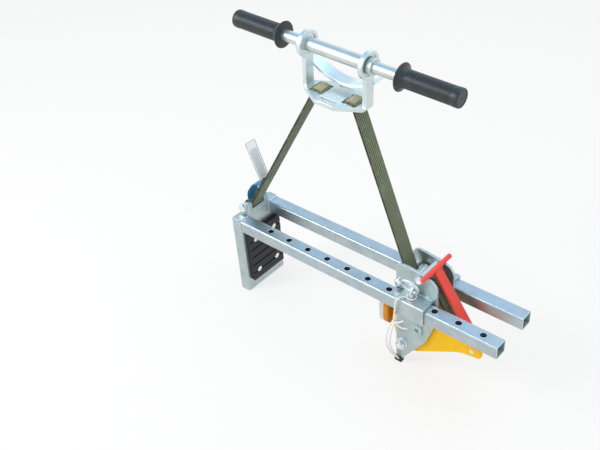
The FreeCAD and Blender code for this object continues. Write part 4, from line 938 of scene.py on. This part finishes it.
def carriage_welds():
    """Where the sleeves' edges meet the cheeks."""
    runs = []
    for node, y in (("front_sleeve", end_of("front_cheek", 1, 0)),
                    ("rear_sleeve", end_of("rear_cheek", 1, 1))):
        left = end_of(node, 0, 0) + PLATE_WELD_STOP
        right = end_of(node, 0, 1) - PLATE_WELD_STOP
        for z in (end_of(node, 2, 0), end_of(node, 2, 1)):
            runs.append(((left, y, z), (right, y, z)))
    weld("sleeve_welds", runs, size=2.0, material=zinc_plate_painted_shade, body="carriage")


def handle_welds():
    """Both sides of the flat bar where it meets the T bar."""
    top = Vector(middle("release_t_bar"))
    pin = Vector(middle("handle_pin"))
    down = (pin - top).normalized()
    aside = Vector((-down.y, down.x))
    runs = []
    for side in (-1, 1):
        spot = top + down * HANDLE_WELD_DOWN + aside * side * HANDLE_WELD_ASIDE
        runs.append(((spot.x, -HANDLE_WELD_HALF, spot.y), (spot.x, HANDLE_WELD_HALF, spot.y)))
    weld("handle_welds", runs, size=1.8, material=red_coat, body="release_handle")


THREAD_PITCH = 1.5
SPACER_TUBE_RADIUS = 7.5


def thread_end(name, radius, length):
    """Bolt end with its last turns of thread and a turned-off tip."""
    root = radius - 0.6
    profile = [(0.0, -1.0), (root, -1.0)]
    for i in range(int(length / THREAD_PITCH)):
        low = i * THREAD_PITCH
        profile += [(root, low), (radius, low + 0.5), (radius, low + 0.8), (root, low + 1.3)]
    tip = [(radius - 0.8, length), (radius - 2.0, length + 0.9), (0.0, length + 0.9)]
    return turned(name, profile + tip, 32)


def washer(name, bore, rim, thick):
    return turned(name, [(bore, 0.0), (rim - 0.3, 0.0), (rim, 0.3), (rim, thick - 0.4),
                         (rim - 0.4, thick), (bore, thick), (bore, 0.0)], 40)


def stood_on(piece, spot, face, way):
    """Stands a washer or thread on a face, towards the front (-1) or the back (1)."""
    placed(piece, along(at(spot, face), at(spot, face + 10 * way)))
    return piece


def fastener_trim():
    """Washers on the pivot and anchor bolts, and the threads that stand out of the nuts."""
    pivot = middle("pivot_nut")
    tube_low, tube_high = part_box("spacer_tubes")
    lower = [1000 * tube_low[i] + SPACER_TUBE_RADIUS for i in (0, 2)]
    upper = [1000 * tube_high[i] - SPACER_TUBE_RADIUS for i in (0, 2)]
    pivot_washer = washer("pivot_washer", bore=7.3, rim=13.4, thick=1.6)
    pivot_thread = thread_end("pivot_thread", radius=7.0, length=3.0)
    low_thread = thread_end("spacer_thread", radius=5.0, length=2.4)
    high_thread = copy_of(low_thread, "spacer_thread_high")
    back = end_of("spacer_nuts", 1, 1)
    carriage_trim = [stood_on(pivot_washer, pivot, end_of("front_cheek", 1, 0), -1),
                     stood_on(pivot_thread, pivot, end_of("pivot_nut", 1, 0), -1),
                     stood_on(low_thread, lower, back, 1), stood_on(high_thread, upper, back, 1)]
    dressed(one_piece("carriage_fastener_trim", carriage_trim), zinc_bolt, "carriage")
    anchor_thread = thread_end("anchor_thread", radius=6.0, length=2.4)
    anchor_washer = washer("anchor_washer", bore=6.2, rim=11.4, thick=1.4)
    anchor_trim = [stood_on(anchor_thread, ANCHOR, end_of("anchor_nut", 1, 1), 1),
                   stood_on(anchor_washer, ANCHOR, end_of("anchor_bracket", 1, 0), -1)]
    dressed(one_piece("anchor_fastener_trim", anchor_trim), zinc_bolt, "frame")


grips()
frame_welds()
carriage_welds()
handle_welds()
fastener_trim()


# Finishes of the frame's own parts
def finish_of(material, *names):
    for name in names:
        nodes[name].data.materials.clear()
        nodes[name].data.materials.append(material)


finish_of(zinc_rail, "front_rail", "rear_rail")
finish_of(zinc_bar, "handlebar_tube", "centre_sleeve", "bar_collars", "spacer_tubes", "low_roller")
# Carriage and jaw plates take the darker copy of the plate zinc (painted shade); the yoke takes the
# lighter copy (painted light).
finish_of(zinc_plate_painted_shade, "fixed_jaw", "anchor_bracket", "front_cheek", "rear_cheek", "front_sleeve",
          "rear_sleeve", "cheek_bosses")
finish_of(zinc_yoke_painted_light, "yoke_frame", "bar_bushes", "hook_saddle")
finish_of(zinc_bolt, "jaw_pad_screws", "anchor_bolt", "anchor_nut", "spacer_bolts", "spacer_nuts",
          "roller_axles", "pivot_bolt", "pivot_nut", "lock_bolt", "pull_ring", "shoe_pin",
          "handle_pin")
finish_of(yellow_coat, "front_lever_plate", "rear_lever_plate", "lever_hub", "strap_pin")
finish_of(orange_coat, "clamp_shoe")
finish_of(red_coat, "release_bar", "release_t_bar")
finish_of(grip_rubber, "left_grip", "right_grip")
finish_of(foot_rubber, "cheek_feet", "jaw_pad", "high_roller")
finish_of(pad_rubber, "shoe_pad")
finish_of(sling_weave, "strap_left_leg", "strap_right_leg", "strap_bend", "strap_tail", "strap_top")
finish_of(label_weave, "strap_label")
finish_of(tag_film, "strap_tag")
finish_of(cord_braid, "tether_eye", "tether_drop", "tether_knot", "tether_outer", "tether_inner",
          "tether_tails")


# Floor and light
def pale_floor():
    """Matt floor that keeps the shadow, lifted towards white where it is seen or mirrored."""
    bpy.ops.mesh.primitive_plane_add(size=14)
    floor = named("floor")
    tree = new_material("pale_floor")
    path = add(tree, "ShaderNodeLightPath").outputs
    matt = add(tree, "ShaderNodeBsdfDiffuse", values={"Color": linear("#f6f6f6")})
    white = add(tree, "ShaderNodeEmission", values={"Strength": 1.0})
    seen = add(tree, "ShaderNodeMath", {"operation": "MAXIMUM"},
               links={0: path["Is Camera Ray"], 1: path["Is Glossy Ray"]})
    clear = add(tree, "ShaderNodeMath", {"operation": "MAXIMUM"},
                links={0: seen.outputs["Value"], 1: path["Is Transmission Ray"]})
    share = add(tree, "ShaderNodeMath", {"operation": "MULTIPLY"}, {1: 0.72},
                {0: clear.outputs["Value"]})
    mixed = add(tree, "ShaderNodeMixShader",
                links={0: share.outputs["Value"], 1: matt.outputs["BSDF"],
                       2: white.outputs["Emission"]})
    add(tree, "ShaderNodeOutputMaterial", links={"Surface": mixed.outputs["Shader"]})
    floor.data.materials.append(bpy.data.materials["pale_floor"])


def lamp(name, place, target, size, power, colour):
    """Round soft lamp: place, target and size in metres, power in watts."""
    data = bpy.data.lights.new(name, "AREA")
    data.shape = "DISK"
    data.size = size
    data.energy = power
    data.color = linear(colour)[:3]
    light = bpy.data.objects.new(name, data)
    bpy.context.scene.collection.objects.link(light)
    away = (Vector(place) - Vector(target)).to_track_quat("Z", "Y").to_matrix().to_4x4()
    light.matrix_world = Matrix.Translation(place) @ away


def studio_world():
    """White where it is seen, a soft even light, and a pale blue sky in what the metal mirrors."""
    world = bpy.data.worlds.new("studio")
    world.use_nodes = True
    bpy.context.scene.world = world
    tree = world.node_tree
    tree.nodes.clear()
    path = add(tree, "ShaderNodeLightPath").outputs
    facing = add(tree, "ShaderNodeTexCoord").outputs["Generated"]
    up = add(tree, "ShaderNodeSeparateXYZ", links={"Vector": facing}).outputs["Z"]
    height = add(tree, "ShaderNodeMapRange", values={"From Min": 0.56, "From Max": 0.72},
                 links={"Value": up}).outputs["Result"]
    blue = add(tree, "ShaderNodeMixRGB",
               values={"Color1": linear("#f2f9fd"), "Color2": linear("#77b0e4")},
               links={"Fac": height}).outputs["Color"]
    overhead = add(tree, "ShaderNodeMapRange", values={"From Min": 0.82, "From Max": 0.97},
                   links={"Value": up}).outputs["Result"]
    sky = add(tree, "ShaderNodeMixRGB", values={"Color2": linear("#c8d6e2")},
              links={"Fac": overhead, "Color1": blue}).outputs["Color"]
    seen = add(tree, "ShaderNodeBackground",
               values={"Color": linear("#ffffff"), "Strength": 1.0}).outputs["Background"]
    mirrored = add(tree, "ShaderNodeBackground", values={"Strength": 1.3},
                   links={"Color": sky}).outputs["Background"]
    soft = add(tree, "ShaderNodeBackground",
               values={"Color": linear("#f8fafc"), "Strength": 0.72}).outputs["Background"]
    plain = add(tree, "ShaderNodeMath", {"operation": "MAXIMUM"},
                links={0: path["Is Camera Ray"], 1: path["Is Transmission Ray"]})
    lit = add(tree, "ShaderNodeMixShader", links={0: path["Is Glossy Ray"], 1: soft, 2: mirrored})
    whole = add(tree, "ShaderNodeMixShader",
                links={0: plain.outputs["Value"], 1: lit.outputs["Shader"], 2: seen})
    add(tree, "ShaderNodeOutputWorld", links={"Surface": whole.outputs["Shader"]})


pale_floor()
studio_world()
lamp("key_light", place=(-1.25, -1.55, 1.75), target=(0.0, 0.0, 0.25), size=1.1, power=24.0,
     colour="#fffdf8")
lamp("top_light", place=(0.35, 0.7, 2.1), target=(0.0, 0.0, 0.3), size=1.4, power=7.0,
     colour="#f4f9ff")
bpy.context.scene.view_settings.view_transform = "Standard"
